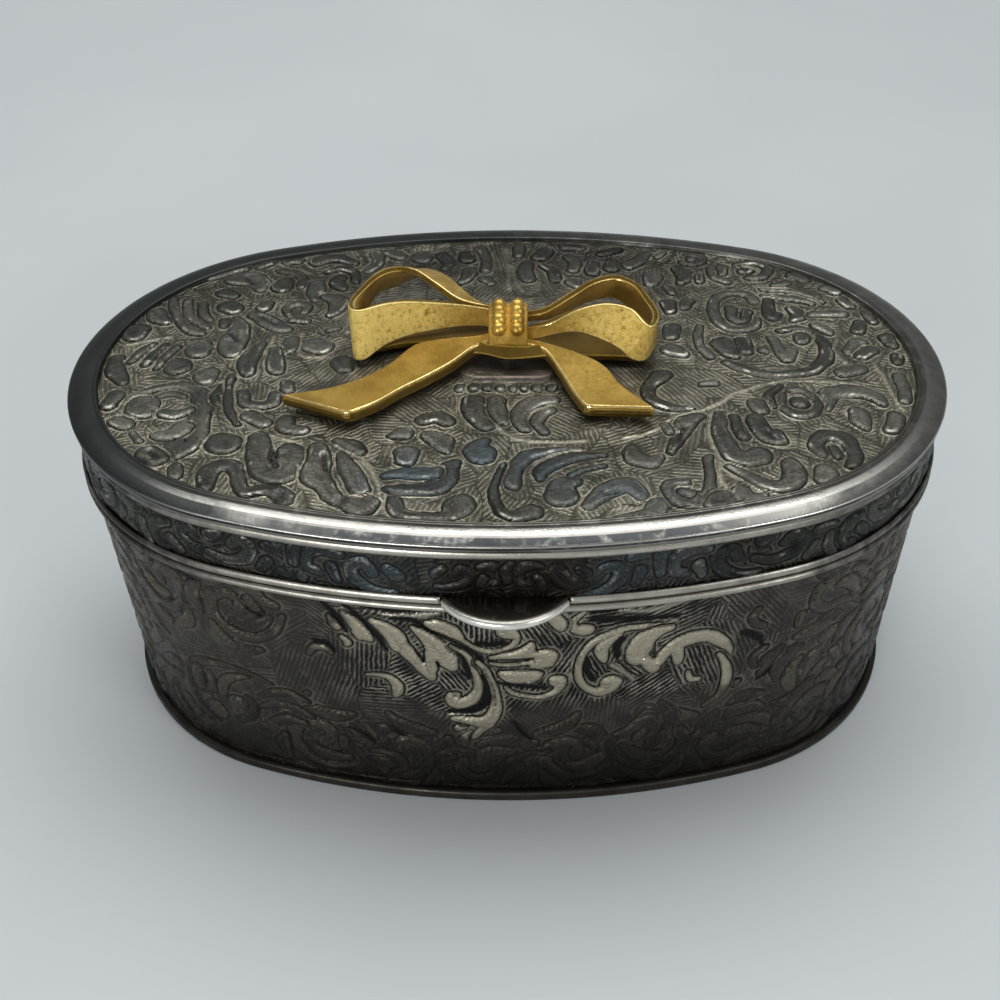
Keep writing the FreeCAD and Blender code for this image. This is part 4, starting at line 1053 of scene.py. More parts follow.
# Plain mouldings
bright_middle = 2.0
moulding_count = 720
bead_steps = 14
seat_overlap = 0.1
corner_limit_share = 0.45
foot_round = 0.5
tab_play = 0.1
bulge_inset = 0.14
bulge_rise = 0.36
bulge_steps = 8
crown_place_share = 0.42
crown_rise = 0.52
crown_steps = 16
ridge_steps = 6
ridge_end_drop = 0.05
rim_ledge = 0.8
rim_ledge_thickness = 0.5
rim_inner_inset = 1.8

# Tab edge: how far it stands back at a height over the underside, or at a depth under the top
tab_steps = 60
tab_dip = 0.04
tab_low_edge = ((0.25, 0.0), (0.05, 0.08), (0.0, 0.3))
tab_high_edge = ((0.0, 0.4), (0.08, 0.2), (0.25, 0.06), (0.55, 0.0), (1.1, tab_dip))


def moulding(name, node_names, profile, material, body, runs=None, closed=True):
    """A plain moulding round the oval, with values for the tones along it and across its profile."""
    if runs is None:
        runs = np.linspace(-perimeter / 2, perimeter / 2, moulding_count + 1)[:-1]
    points, faces = sweep(runs, profile, closed)
    away = np.tile(np.abs(wrapped(runs - bright_middle)), len(profile))
    side = np.tile(np.sin(runs * 2 * math.pi / perimeter), len(profile))
    band = np.repeat(np.linspace(0, 1, len(profile)), len(runs))
    return make_piece(name, points, faces, material, body, node_names,
                      {"away": away, "side": side, "band": band})


def rounded(points, radius, steps=4):
    """A closed profile with its corners rounded."""
    row = []
    count = len(points)
    for k in range(count):
        before = Vector(points[k - 1])
        here = Vector(points[k])
        after = Vector(points[(k + 1) % count])
        start = here + (before - here).normalized() * min(radius, (before - here).length * corner_limit_share)
        end = here + (after - here).normalized() * min(radius, (after - here).length * corner_limit_share)
        for step in range(steps + 1):
            t = step / steps
            row.append(tuple(start * (1 - t) ** 2 + here * 2 * t * (1 - t) + end * t**2))
    return row


def bead_profile(inner, outer, bottom, top):
    middle = (bottom + top) / 2
    shoulder = (inner + outer) / 2
    return ([(inner, bottom)] + arc_profile((shoulder, bottom), (outer, middle), (shoulder, top), bead_steps)
            + [(inner, top)])


def mouldings(polished, worn_and_sheen, foot_metal):
    foot_inner = foot_inset + foot_breadth
    foot = rounded([(foot_inset, 0), (foot_inset, foot_height), (foot_inner, foot_height), (foot_inner, 0)],
                   foot_round)
    moulding("foot_moulding", ["foot_ring"], foot, foot_metal, "body")
    low = split_height - bead_height
    moulding("body_bead_moulding", ["body_bead"],
             bead_profile(wall_inset(low) + seat_overlap, bead_inset, low, split_height), worn_and_sheen, "body")
    gap = tab_length / 2 + tab_play
    runs = np.linspace(tab_offset + gap, perimeter + tab_offset - gap, moulding_count + 1)
    moulding("lid_bead_moulding", ["lid_bead"],
             bead_profile(skirt_inset + seat_overlap, bead_inset, lid_bottom, lid_bead_top), worn_and_sheen, "lid",
             runs, False)
    moulding("lid_cord_moulding", ["lid_cord"],
             bead_profile(skirt_inset + seat_overlap, cord_inset, frieze_top, rim_bottom), worn_and_sheen, "lid")
    ridge_outer = rim_breadth - ridge_breadth
    bulge = arc_profile((cord_inset, rim_bottom), (bulge_inset, rim_bottom + bulge_rise),
                        (0.0, rim_edge_height), bulge_steps)
    crown = arc_profile((0.0, rim_edge_height),
                        (ridge_outer * crown_place_share, rim_edge_height + crown_rise),
                        (ridge_outer, lid_top), crown_steps)
    ridge = arc_profile((ridge_outer, lid_top), ((ridge_outer + rim_breadth) / 2, lid_top + ridge_rise),
                        (rim_breadth, lid_top - ridge_end_drop), ridge_steps)
    ledge = [(rim_breadth, plate_bottom), (rim_breadth + rim_ledge, plate_bottom),
             (rim_breadth + rim_ledge, plate_bottom - rim_ledge_thickness),
             (rim_inner_inset, plate_bottom - rim_ledge_thickness), (rim_inner_inset, rim_bottom)]
    moulding("lid_rim_moulding", ["lid_rim"], bulge + crown[1:] + ridge[1:] + ledge, polished, "lid")


def thumb_tab(material):
    """Crescent shelf: rows of a disc's rim, with softened edges, closed along the lid's skirt."""
    front = half_width - bead_inset + tab_reach
    half = tab_length / 2
    radius = (half**2 + tab_reach**2) / (2 * tab_reach)
    reach = math.asin(half / radius)
    turns = np.linspace(-reach, reach, tab_steps + 1)
    levels = ([(back, lid_bottom + rise) for back, rise in tab_low_edge]
              + [(back, lid_bead_top - drop) for back, drop in tab_high_edge])
    rows = []
    for back, height in levels:
        rows.append([(tab_offset + math.sin(turn) * (radius - back),
                      -front + radius - math.cos(turn) * (radius - back), height) for turn in turns])
    for height in (lid_bead_top - tab_dip, lid_bottom):
        rows.append([(x, float(outline(x, skirt_inset + seat_overlap)[1]), height) for x, y, z in rows[0]])
    points = np.array(rows).reshape(-1, 3)
    faces = [tuple(face) for face in grid_quads(len(rows), len(turns), True, False)]
    starts = [k * len(turns) for k in range(len(rows))]
    faces += [tuple(starts), tuple(k + len(turns) - 1 for k in starts[::-1])]
    zero = np.zeros(len(points))
    band = np.repeat(np.arange(len(rows)) / len(rows), len(turns))
    return make_piece("thumb_tab_shelf", points, faces, material, "lid", ["thumb_tab"],
                      {"away": zero, "side": zero, "band": band})


# Bow. Ribbon edges are shares of the bow's length, depth and height, from the middle of the lid's plate.

left_loop_shares = (
    ((-0.030, 0.150, 0.38), (-0.030, 0.170, 0.68)),
    ((-0.125, 0.170, 0.35), (-0.125, 0.187, 0.74)),
    ((-0.252, 0.165, 0.23), (-0.256, 0.177, 0.82)),
    ((-0.333, 0.105, 0.15), (-0.331, 0.153, 0.83)),
    ((-0.390, 0.013, 0.06), (-0.400, 0.110, 0.80)),
    ((-0.412, 0.073, 0.06), (-0.422, 0.165, 0.81)),
    ((-0.412, 0.310, 0.11), (-0.395, 0.260, 0.87)),
    ((-0.380, 0.490, 0.27), (-0.355, 0.350, 0.93)),
    ((-0.320, 0.520, 0.38), (-0.308, 0.383, 0.97)),
    ((-0.246, 0.520, 0.62), (-0.254, 0.353, 0.97)),
    ((-0.175, 0.430, 0.70), (-0.196, 0.270, 0.90)),
    ((-0.100, 0.290, 0.60), (-0.125, 0.190, 0.76)),
    ((-0.030, 0.210, 0.50), (-0.030, 0.170, 0.66)),
)
left_under_shares = (
    ((-0.030, 0.060, 0.26), (-0.030, 0.200, 0.28)),
    ((-0.160, 0.090, 0.16), (-0.160, 0.260, 0.16)),
    ((-0.270, 0.120, 0.09), (-0.270, 0.330, 0.09)),
    ((-0.400, 0.060, 0.08), (-0.400, 0.280, 0.08)),
)
left_tail_shares = (
    ((-0.030, 0.033, 0.30), (-0.030, 0.090, 0.36)),
    ((-0.081, -0.003, 0.26), (-0.090, 0.070, 0.32)),
    ((-0.138, -0.100, 0.20), (-0.177, 0.073, 0.24)),
    ((-0.202, -0.190, 0.16), (-0.248, 0.050, 0.18)),
    ((-0.267, -0.277, 0.14), (-0.310, -0.080, 0.14)),
    ((-0.329, -0.380, 0.14), (-0.375, -0.187, 0.14)),
    ((-0.380, -0.440, 0.14), (-0.471, -0.273, 0.14)),
    ((-0.394, -0.450, 0.14), (-0.576, -0.322, 0.15)),
)
right_loop_shares = (
    ((0.060, 0.073, 0.28), (0.060, 0.090, 0.52)),
    ((0.125, 0.067, 0.44), (0.117, 0.050, 0.70)),
    ((0.194, 0.057, 0.50), (0.194, 0.080, 0.87)),
    ((0.256, 0.033, 0.42), (0.273, 0.093, 0.95)),
    ((0.310, 0.000, 0.30), (0.342, 0.080, 0.87)),
    ((0.342, -0.035, 0.20), (0.385, 0.000, 0.76)),
    ((0.375, -0.020, 0.16), (0.404, 0.040, 0.76)),
    ((0.408, 0.130, 0.18), (0.404, 0.095, 0.81)),
    ((0.389, 0.253, 0.31), (0.384, 0.170, 0.87)),
    ((0.354, 0.300, 0.38), (0.356, 0.250, 0.95)),
    ((0.306, 0.350, 0.50), (0.302, 0.293, 1.00)),
    ((0.242, 0.310, 0.55), (0.240, 0.253, 1.00)),
    ((0.177, 0.240, 0.53), (0.175, 0.170, 0.92)),
    ((0.115, 0.187, 0.48), (0.110, 0.127, 0.75)),
    ((0.060, 0.180, 0.46), (0.060, 0.140, 0.65)),
)
right_under_shares = (
    ((0.060, 0.050, 0.24), (0.060, 0.190, 0.25)),
    ((0.180, 0.000, 0.15), (0.180, 0.210, 0.15)),
    ((0.290, 0.010, 0.09), (0.290, 0.230, 0.09)),
    ((0.375, 0.000, 0.08), (0.375, 0.180, 0.08)),
)
right_tail_shares = (
    ((0.060, 0.020, 0.24), (0.060, 0.070, 0.26)),
    ((0.106, -0.020, 0.22), (0.140, 0.020, 0.24)),
    ((0.146, -0.157, 0.17), (0.222, -0.050, 0.20)),
    ((0.179, -0.300, 0.14), (0.271, -0.117, 0.15)),
    ((0.202, -0.387, 0.14), (0.310, -0.250, 0.14)),
    ((0.206, -0.397, 0.14), (0.385, -0.410, 0.14)),
)
under_knot_shares = (
    ((-0.085, -0.012, 0.22), (-0.070, 0.035, 0.36)),
    ((-0.045, -0.022, 0.23), (-0.038, 0.005, 0.38)),
    ((0.000, -0.046, 0.21), (0.004, -0.010, 0.39)),
    ((0.050, -0.042, 0.21), (0.050, -0.008, 0.37)),
    ((0.110, -0.028, 0.20), (0.086, 0.015, 0.33)),
)

bow_middle = np.array([bow_offset, bow_back, plate_top])
bow_size = np.array([bow_length, bow_depth, bow_height])
knot_place = np.array([bow_offset + knot_offset, bow_back + knot_back, plate_top + knot_height])


# Painted light on a ribbon's edge from its flat face to the middle of its thickness: a highlight, or painted
# shade below zero
corner_values = (0.9, 1.0, 0.1, -1.0)
flat_points = 9
ribbon_round_share = 0.28
end_round_share = 0.35
end_turns = (22.5, 45.0, 67.5, 90.0)
ribbon_lift = 0.05
bright_reach = 8.0
flat_lean = 0.7


def section_outline(width, thickness):
    """Points round a ribbon's section with rounded corners, each with the painted light on its edge."""
    radius = min(thickness, width) * ribbon_round_share
    flat = width / 2 - radius
    turns = np.linspace(0, math.pi / 2, len(corner_values) + 1)[1:]
    corner = [(flat + radius * math.sin(t), thickness / 2 - radius * (1 - math.cos(t)), value)
              for t, value in zip(turns, corner_values)]
    top = [(share * flat, thickness / 2, 0.0) for share in np.linspace(-1, 1, flat_points)]
    right = corner + [(a, -t, value) for a, t, value in corner[::-1]]
    left = [(-a, -t, value) for a, t, value in corner] + [(-a, t, value) for a, t, value in corner[::-1]]
    return top + right + [(a, -t, value) for a, t, value in top[::-1]] + left


def ribbon_mesh(edge_shares, thickness, shift, bright_place, highlight_share):
    """Points, faces and values of a ribbon between its two edge rows, with a painted highlight at a place
    along it.
    """
    ones = smooth_path([bow_middle + np.array(pair[0]) * bow_size for pair in edge_shares], ribbon_steps)
    others = smooth_path([bow_middle + np.array(pair[1]) * bow_size for pair in edge_shares], ribbon_steps)
    middles = (ones + others) / 2
    along = np.concatenate([[0], np.cumsum(np.linalg.norm(np.diff(middles, axis=0), axis=1))])
    points = []
    rim = []
    runs = []
    sides = []
    for i in range(len(ones)):
        forward = middles[min(i + 1, len(middles) - 1)] - middles[max(i - 1, 0)]
        across = others[i] - ones[i]
        width = np.linalg.norm(across)
        across = across / width
        through = np.cross(forward, across)
        through = through / np.linalg.norm(through)
        for a, t, edge in section_outline(width, thickness):
            points.append(middles[i] + across * a + through * t)
            # The lower side of a flat-lying ribbon gets painted shade
            under = abs(through[2]) > flat_lean and t * through[2] < 0
            rim.append(-abs(edge) if under else edge)
            runs.append(along[i])
            sides.append(a)
    count = len(points) // len(ones)
    last = np.array(points[-count:])
    middle = last.mean(0)
    out = middles[-1] - middles[-2]
    out = out / np.linalg.norm(out)
    half_breadth = np.linalg.norm(others[-1] - ones[-1]) / 2
    across = (others[-1] - ones[-1]) / (2 * half_breadth)
    wide = (last - middle) @ across
    thin = (last - middle) - np.outer(wide, across)
    soften = thickness * end_round_share
    ends = []
    for turn in end_turns:
        less = soften * (1 - math.cos(math.radians(turn)))
        ends.append(middle + out * soften * math.sin(math.radians(turn))
                    + np.outer(wide * (1 - less / half_breadth), across)
                    + thin * (1 - less / (thickness / 2)))
    points = np.concatenate([np.array(points)] + ends)
    points[:, 2] = np.maximum(points[:, 2], plate_top + ribbon_lift)
    end_rim = np.repeat(corner_values, count)
    # Painted shade on the lower half of the ribbon's rounded end
    end_rim[np.tile(last[:, 2] < middle[2], len(ends))] = -1.0
    rim = np.concatenate([rim, end_rim]) + shift
    runs = np.concatenate([runs, np.full(count * len(ends), runs[-1])])
    sides = np.concatenate([sides] + [sides[-count:]] * len(ends))
    rows = len(ones) + len(ends)
    faces = [tuple(face) for face in grid_quads(rows, count, False, True)]
    faces.append(tuple(range(count)))
    faces.append(tuple((rows - 1) * count + k for k in range(count))[::-1])
    painted_highlight = highlight_share * np.exp(-((runs - bright_place) / bright_reach) ** 2)
    return points, faces, rim, runs, sides, painted_highlight


def joined(parts):
    """Several (points, faces, values...) joined into one."""
    points = []
    faces = []
    rows = [[] for _ in parts[0][2:]]
    start = 0
    for part in parts:
        points.append(part[0])
        faces += [tuple(k + start for k in f) for f in part[1]]
        for row, value in zip(rows, part[2:]):
            row.append(value)
        start += len(part[0])
    return (np.concatenate(points), faces) + tuple(np.concatenate(row) for row in rows)


def ball_mesh(middle, radius, rings=14, around=24):
    """Points, faces and values of a small ball."""
    points = [(0, 0, 1)]
    for i in range(1, rings):
        turn = math.pi * i / rings
        for j in range(around):
            spin = 2 * math.pi * j / around
            points.append((math.sin(turn) * math.cos(spin), math.sin(turn) * math.sin(spin), math.cos(turn)))
    points.append((0, 0, -1))
    points = np.array(points) * radius + middle
    faces = [(0, 1 + j, 1 + (j + 1) % around) for j in range(around)]
    for i in range(rings - 2):
        first = 1 + i * around
        faces += [(first + j, first + around + j, first + around + (j + 1) % around, first + (j + 1) % around)
                  for j in range(around)]
    last = 1 + (rings - 2) * around
    faces += [(len(points) - 1, last + (j + 1) % around, last + j) for j in range(around)]
    zero = np.zeros(len(points))
    return points, faces, zero + bead_rim_share, zero, zero, zero


# Knot: rows of a place and how much thinner it is there, first counted from its ends, then from its middle
# Painted light on the beads and on the knot band
bead_rim_share = 0.7
knot_rim_share = 0.2
knot_steps = 72
knot_end_edge = ((0.0, -0.6), (0.0, -0.3), (0.12, -0.1), (0.4, 0.0))
knot_groove = ((0.35, 0.0), (0.12, -0.06), (0.0, -0.12))
knot_column_offset = 1.2
bead_sink_share = 0.1

# Ribbons of each node: edge rows, thickness, shift of the edge's painted light, place and strength of the
# painted highlight
bow_ribbons = {
    "bow_left_loop": [(left_loop_shares, ribbon_thickness, 0.0, 14.0, 1.0),
                      # Ribbons under the loops and the knot are shifted into painted shade
                      (left_under_shares, under_ribbon_thickness, -0.6, 0.0, 0.0)],
    "bow_right_loop": [(right_loop_shares, ribbon_thickness, 0.0, 12.0, 0.6),
                       (right_under_shares, under_ribbon_thickness, -0.6, 0.0, 0.0)],
    "bow_left_tail": [(left_tail_shares, tail_thickness, 0.0, 0.0, 0.0)],
    "bow_right_tail": [(right_tail_shares, tail_thickness, 0.0, 10.0, 0.3),
                       (under_knot_shares, under_ribbon_thickness, -0.85, 0.0, 0.0)],
}


def gold_piece(name, parts, material, node):
    points, faces, rim, run, side, painted_highlight = joined(parts)
    make_piece(name, points, faces, material, "lid", [node],
               {"rim": rim, "run": run, "side": side, "painted_highlight": painted_highlight})


def bow(material):
    for name, ribbons in bow_ribbons.items():
        gold_piece(name + "_ribbon", [ribbon_mesh(*ribbon) for ribbon in ribbons], material, name)
    tilt = math.radians(knot_tilt)
    major_way = np.array([0, math.cos(tilt), math.sin(tilt)])
    minor_way = np.array([0, -math.sin(tilt), math.cos(tilt)])
    spins = np.linspace(0, 2 * math.pi, knot_steps + 1)[:-1]
    half = knot_length / 2
    levels = [(-half + inward, grow) for inward, grow in knot_end_edge]
    levels += [(-place, grow) for place, grow in knot_groove]
    levels += [(-x, grow) for x, grow in levels[-2::-1]]
    rows = []
    for x, grow in levels:
        rows.append([knot_place + np.array([x, 0, 0]) + major_way * math.cos(s) * (knot_major + grow)
                     + minor_way * math.sin(s) * (knot_minor + grow) for s in spins])
    points = np.array(rows).reshape(-1, 3)
    points[:, 2] = np.maximum(points[:, 2], plate_top + knot_flat_height)
    faces = [tuple(face) for face in grid_quads(len(levels), len(spins), False, True)]
    faces.append(tuple(range(len(spins)))[::-1])
    faces.append(tuple((len(levels) - 1) * len(spins) + k for k in range(len(spins))))
    zero = np.zeros(len(points))
    parts = [(points, faces, zero + knot_rim_share, zero, zero, zero)]
    sink = 1 - bead_sink_share * knot_bead_radius / knot_minor
    for column in (-1, 1):
        for row in range(knot_bead_rows):
            turn = math.radians(knot_bead_first_angle + row * knot_bead_row_angle)
            place = knot_place + np.array([column * knot_column_offset, 0, 0])
            place = place + major_way * math.cos(turn) * knot_major * sink
            place = place + minor_way * math.sin(turn) * knot_minor * sink
            parts.append(ball_mesh(place, knot_bead_radius))
    gold_piece("bow_knot_band", parts, material, "bow_knot")


# Linings of velvet over card
lining_count = 480
lining_round = 0.45
lid_inner_inset = 2.0
floor_crown = 0.5
lid_crown = -0.2
pad_columns = 360
pad_rings = 22
pad_edge_rings = 3
edge_drop = 0.5


def linings(material):
    low = floor_height + lining_gap
    gap = wall_thickness + lining_gap
    profile = rounded([(wall_inset(low) + gap, low), (wall_inset(lining_top) + gap, lining_top),
                       (wall_inset(lining_top) + gap + lining_thickness, lining_top),
                       (wall_inset(low) + gap + lining_thickness, low)], lining_round)
    points, faces = sweep(np.linspace(-perimeter / 2, perimeter / 2, lining_count + 1)[:-1], profile)
    wall = make_piece("wall_velvet", points, faces, material, "body", ["wall_lining"])
    base_inset = wall_inset(low) + wall_thickness + lining_thickness + 2 * lining_gap
    floor = pad_piece("floor_velvet", base_inset, low, floor_pad_thickness, material, "body", "floor_pad",
                      floor_crown)
    top = plate_bottom - rim_ledge_thickness - lining_gap
    lid = pad_piece("lid_velvet", lid_inner_inset + lining_gap, top - lining_thickness, lining_thickness,
                    material, "lid", "lid_lining", lid_crown)


def pad_piece(name, inset, bottom, thickness, material, body, node, crown):
    """An oval pad with rounded edges and a soft crown above, or below where crown is negative."""
    up = crown > 0
    face = bottom + thickness if up else bottom
    flat = bottom if up else bottom + thickness
    sign = 1 if up else -1
    x, y = outline(np.linspace(-perimeter / 2, perimeter / 2, pad_columns + 1)[:-1], inset)[:2]
    rings = []
    for k in range(pad_rings):
        share = 1 - k / pad_rings
        rise = abs(crown) * (1 - share**4) - edge_drop * (1 - min(1, k / pad_edge_rings)) ** 2
        rings.append(np.stack([x * share, y * share, np.full(len(x), face + sign * rise)], -1))
    rings.append(np.stack([x, y, np.full(len(x), flat)], -1))
    points = np.concatenate(rings + [np.array([[0, 0, face + crown]])])
    count = len(x)
    faces = [tuple(corners) for corners in grid_quads(pad_rings, count, False, True)]
    last = (pad_rings - 1) * count
    faces += [(last + j, last + (j + 1) % count, len(points) - 1) for j in range(count)]
    base = pad_rings * count
    faces += [(j, base + j, base + (j + 1) % count, (j + 1) % count) for j in range(count)]
    faces.append(tuple(base + j for j in range(count)))
    return make_piece(name, points, faces, material, body, [node])


# Materials

def fill_sockets(tree, made, values):
    """Link or set a node's inputs."""
    for key, value in values.items():
        if isinstance(value, bpy.types.NodeSocket):
            tree.links.new(value, made.inputs[key])
        else:
            made.inputs[key].default_value = value


def node(tree, kind, sockets, **settings):
    made = tree.nodes.new("ShaderNode" + kind)
    for key, value in settings.items():
        setattr(made, key, value)
    fill_sockets(tree, made, sockets)
    return made


def value_of(tree, name):
    return node(tree, "Attribute", {}, attribute_name=name).outputs["Fac"]


def calc(tree, operation, first, second=0.5, clamp=False):
    return node(tree, "Math", {0: first, 1: second}, operation=operation, use_clamp=clamp).outputs[0]


def times(tree, first, second):
    return calc(tree, "MULTIPLY", first, second)


def plus(tree, first, second, clamp=False):
    return calc(tree, "ADD", first, second, clamp)


def sway(tree, value, size, middle=0.5):
    """A value moved to lie on both sides of zero, at a size."""
    return times(tree, calc(tree, "SUBTRACT", value, middle), size)


def ramp(tree, value, low, high, start=0.0, end=1.0):
    """A smooth change from start to end while the value goes from low to high."""
    sockets = {"Value": value, "From Min": low, "From Max": high, "To Min": start, "To Max": end}
    return node(tree, "MapRange", sockets, interpolation_type="SMOOTHSTEP").outputs[0]


def blend(tree, share, first, second):
    """A colour between two: each is a socket or a row of red, green and blue."""
    made = node(tree, "Mix", {}, data_type="RGBA")
    for socket, value in (("Factor_Float", share), ("A_Color", first), ("B_Color", second)):
        target = next(one for one in made.inputs if one.identifier == socket)
        if isinstance(value, bpy.types.NodeSocket):
            tree.links.new(value, target)
        else:
            target.default_value = (*value, 1) if isinstance(value, tuple) else value
    return next(one for one in made.outputs if one.identifier == "Result_Color")


def noise(tree, scale, detail, rough=0.5, vector=None):
    if vector is None:
        vector = node(tree, "TexCoord", {}).outputs["Object"]
    sockets = {"Scale": scale, "Detail": detail, "Roughness": rough, "Vector": vector}
    return node(tree, "TexNoise", sockets).outputs["Fac"]


def new_material(name):
    material = bpy.data.materials.new(name)
    material.use_nodes = True
    tree = material.node_tree
    return material, tree, next(one for one in tree.nodes if one.type == "BSDF_PRINCIPLED")


def finish_surface(tree, shader, values, height, bump, strength):
    """Set a surface's colour, roughness and the like, and give it bumps of a height in millimetres."""
    fill_sockets(tree, shader, values)
    made = node(tree, "Bump", {"Height": height, "Distance": bump * mm, "Strength": strength})
    tree.links.new(made.outputs[0], shader.inputs["Normal"])


# Distances from a motif's edge, below zero inside it, between which a tone comes or goes
edge_line = (0.04, -0.06)
edge_waver = 0.25
edge_shadow = (-0.3, -0.02)
crease_blur = 0.06
contour_near = 0.1
contour_far = 0.2
contour_end = 0.4
vein_edge = (-0.12, -0.3)
glint_edge = (-0.16, -0.3)
glint_end = (-0.62, -0.42)
blue_edge = (0.1, -0.1)

# Sizes of the tarnish's patches, as numbers of them in a metre
patina_scale = 240.0
blotch_scale = 420.0
speck_scale = 900.0
fine_scale = 2300.0

# Depths of the fine bumps
relief_bump = 0.12
silver_bump = 0.04
dull_bump = 0.06
gold_bump = 0.2
pile_bump = 0.2

relief_blue = (0.045, 0.08, 0.105)


def relief_metal(name, tones, crease_width, crease_low_share, crease_dull_share, contour_share,
                 line_low_share, line_gain_share, vein_share, glint_share):
    """Embossed plate: motifs with dark creases round them, on hatched ground, rubbed where it is handled,
    with painted glints, highlights and shade.
    """
    material, tree, shader = new_material(name)
    rub = value_of(tree, "rub")
    ridge = value_of(tree, "ridge")
    patina = noise(tree, patina_scale, 5.0, 0.6)
    blotch = noise(tree, blotch_scale, 3.0, 0.6)
    speck = noise(tree, speck_scale, 4.0, 0.65)
    fine = noise(tree, fine_scale, 3.0)
    edge = plus(tree, value_of(tree, "edge"), sway(tree, speck, edge_waver))
    inside = ramp(tree, edge, *edge_line)
    # Dark creases round the motifs: tarnish in the groove and painted shade
    crease = times(tree, ramp(tree, edge, crease_width + crease_blur, crease_width - crease_blur),
                   ramp(tree, patina, 0.38, 0.56, crease_low_share))
    crease = times(tree, crease, ramp(tree, rub, 0.02, 0.3, crease_dull_share))
    crease = calc(tree, "MAXIMUM", crease, times(tree, ridge, -1.0))
    # Pale contour just outside each motif: a painted highlight on its raised rim
    contour = times(tree, ramp(tree, edge, crease_width, crease_width + contour_near),
                    ramp(tree, edge, crease_width + contour_end, crease_width + contour_far))
    contour = times(tree, contour, ramp(tree, blotch, 0.38, 0.62, 0.2))
    phase = plus(tree, value_of(tree, "phase"), sway(tree, speck, 1.1))
    wave = calc(tree, "SINE", times(tree, phase, 2 * math.pi))
    lines = ramp(tree, plus(tree, wave, sway(tree, fine, 1.8)), 0.0, 0.8)
    lines = times(tree, lines, ramp(tree, blotch, 0.34, 0.56, 0.3))
    share = plus(tree, times(tree, rub, line_gain_share), line_low_share, clamp=True)
    pale = times(tree, times(tree, lines, share), ramp(tree, patina, 0.35, 0.6, 0.45))
    pale = calc(tree, "MAXIMUM", pale, times(tree, contour, contour_share))
    pale = calc(tree, "MAXIMUM", pale, times(tree, ridge, plus(tree, share, 0.15)))
    line_tone = blend(tree, rub, tones["dull_line"], tones["line"])
    ground = blend(tree, times(tree, rub, tones["ground_black_share"]), tones["ground"], tones["crease"])
    ground = blend(tree, ramp(tree, blotch, 0.45, 0.68, 0.0, 0.3), ground, tones["dull_line"])
    ground = blend(tree, pale, ground, line_tone)
    ground = blend(tree, crease, ground, tones["crease"])
    veins = times(tree, ramp(tree, wave, 0.35, 0.95), ramp(tree, edge, *vein_edge))
    veins = times(tree, veins, ramp(tree, rub, 0.6, 0.1, 0.0, vein_share))
    # Painted glints just inside the motifs' edges
    glints = times(tree, ramp(tree, edge, *glint_edge), ramp(tree, edge, *glint_end))
    glints = times(tree, glints, ramp(tree, blotch, 0.52, 0.68, 0.0, glint_share))
    cast = plus(tree, times(tree, value_of(tree, "tone"), 0.6), sway(tree, patina, 1.4, 0.4), clamp=True)
    motif = blend(tree, cast, tones["motif"], tones["motif_pale"])
    motif = blend(tree, veins, motif, tones["crease"])
    # Bare metal where it is rubbed, with painted glints in small specks
    bare_and_glint = ramp(tree, plus(tree, times(tree, rub, 1.25), sway(tree, patina, 1.1)), 0.42, 0.8)
    bare_and_glint = plus(tree, bare_and_glint, times(tree, ramp(tree, speck, 0.6, 0.74), 0.16), clamp=True)
    motif = blend(tree, bare_and_glint, motif, tones["worn_and_sheen"])
    motif = blend(tree, ramp(tree, edge, *edge_shadow, 0.0, 0.35), motif, tones["crease"])
    motif = blend(tree, glints, motif, tones["worn_and_sheen"])
    colour = blend(tree, inside, ground, motif)
    blue = times(tree, value_of(tree, "blue"), ramp(tree, edge, *blue_edge, 0.15, 0.6))
    blue = times(tree, blue, ramp(tree, patina, 0.35, 0.6, 0.4))
    colour = blend(tree, blue, colour, relief_blue)
    # Brown: the cartouche's own tone on the lid, painted shade on the frieze's panel over the tab
    colour = blend(tree, times(tree, value_of(tree, "brown"), 0.6), colour, tones["brown"])
    # Painted shade where the shade value is set, in the crease tone
    colour = blend(tree, value_of(tree, "shade"), colour, tones["crease"])
    rough = plus(tree, ramp(tree, patina, 0.3, 0.7, 0.28, 0.52), times(tree, rub, -0.06))
    height = plus(tree, times(tree, pale, 0.6), times(tree, speck, 0.9))
    height = plus(tree, height, times(tree, crease, -0.6))
    height = plus(tree, height, times(tree, veins, -0.7))
    finish_surface(tree, shader, {"Base Color": colour, "Metallic": 0.85, "Roughness": rough}, height,
                   relief_bump, 0.8)
    return material


band_blur_share = 0.015
cloud_scale = 160.0
spot_scale = 520.0
silver_fine_scale = 2600.0


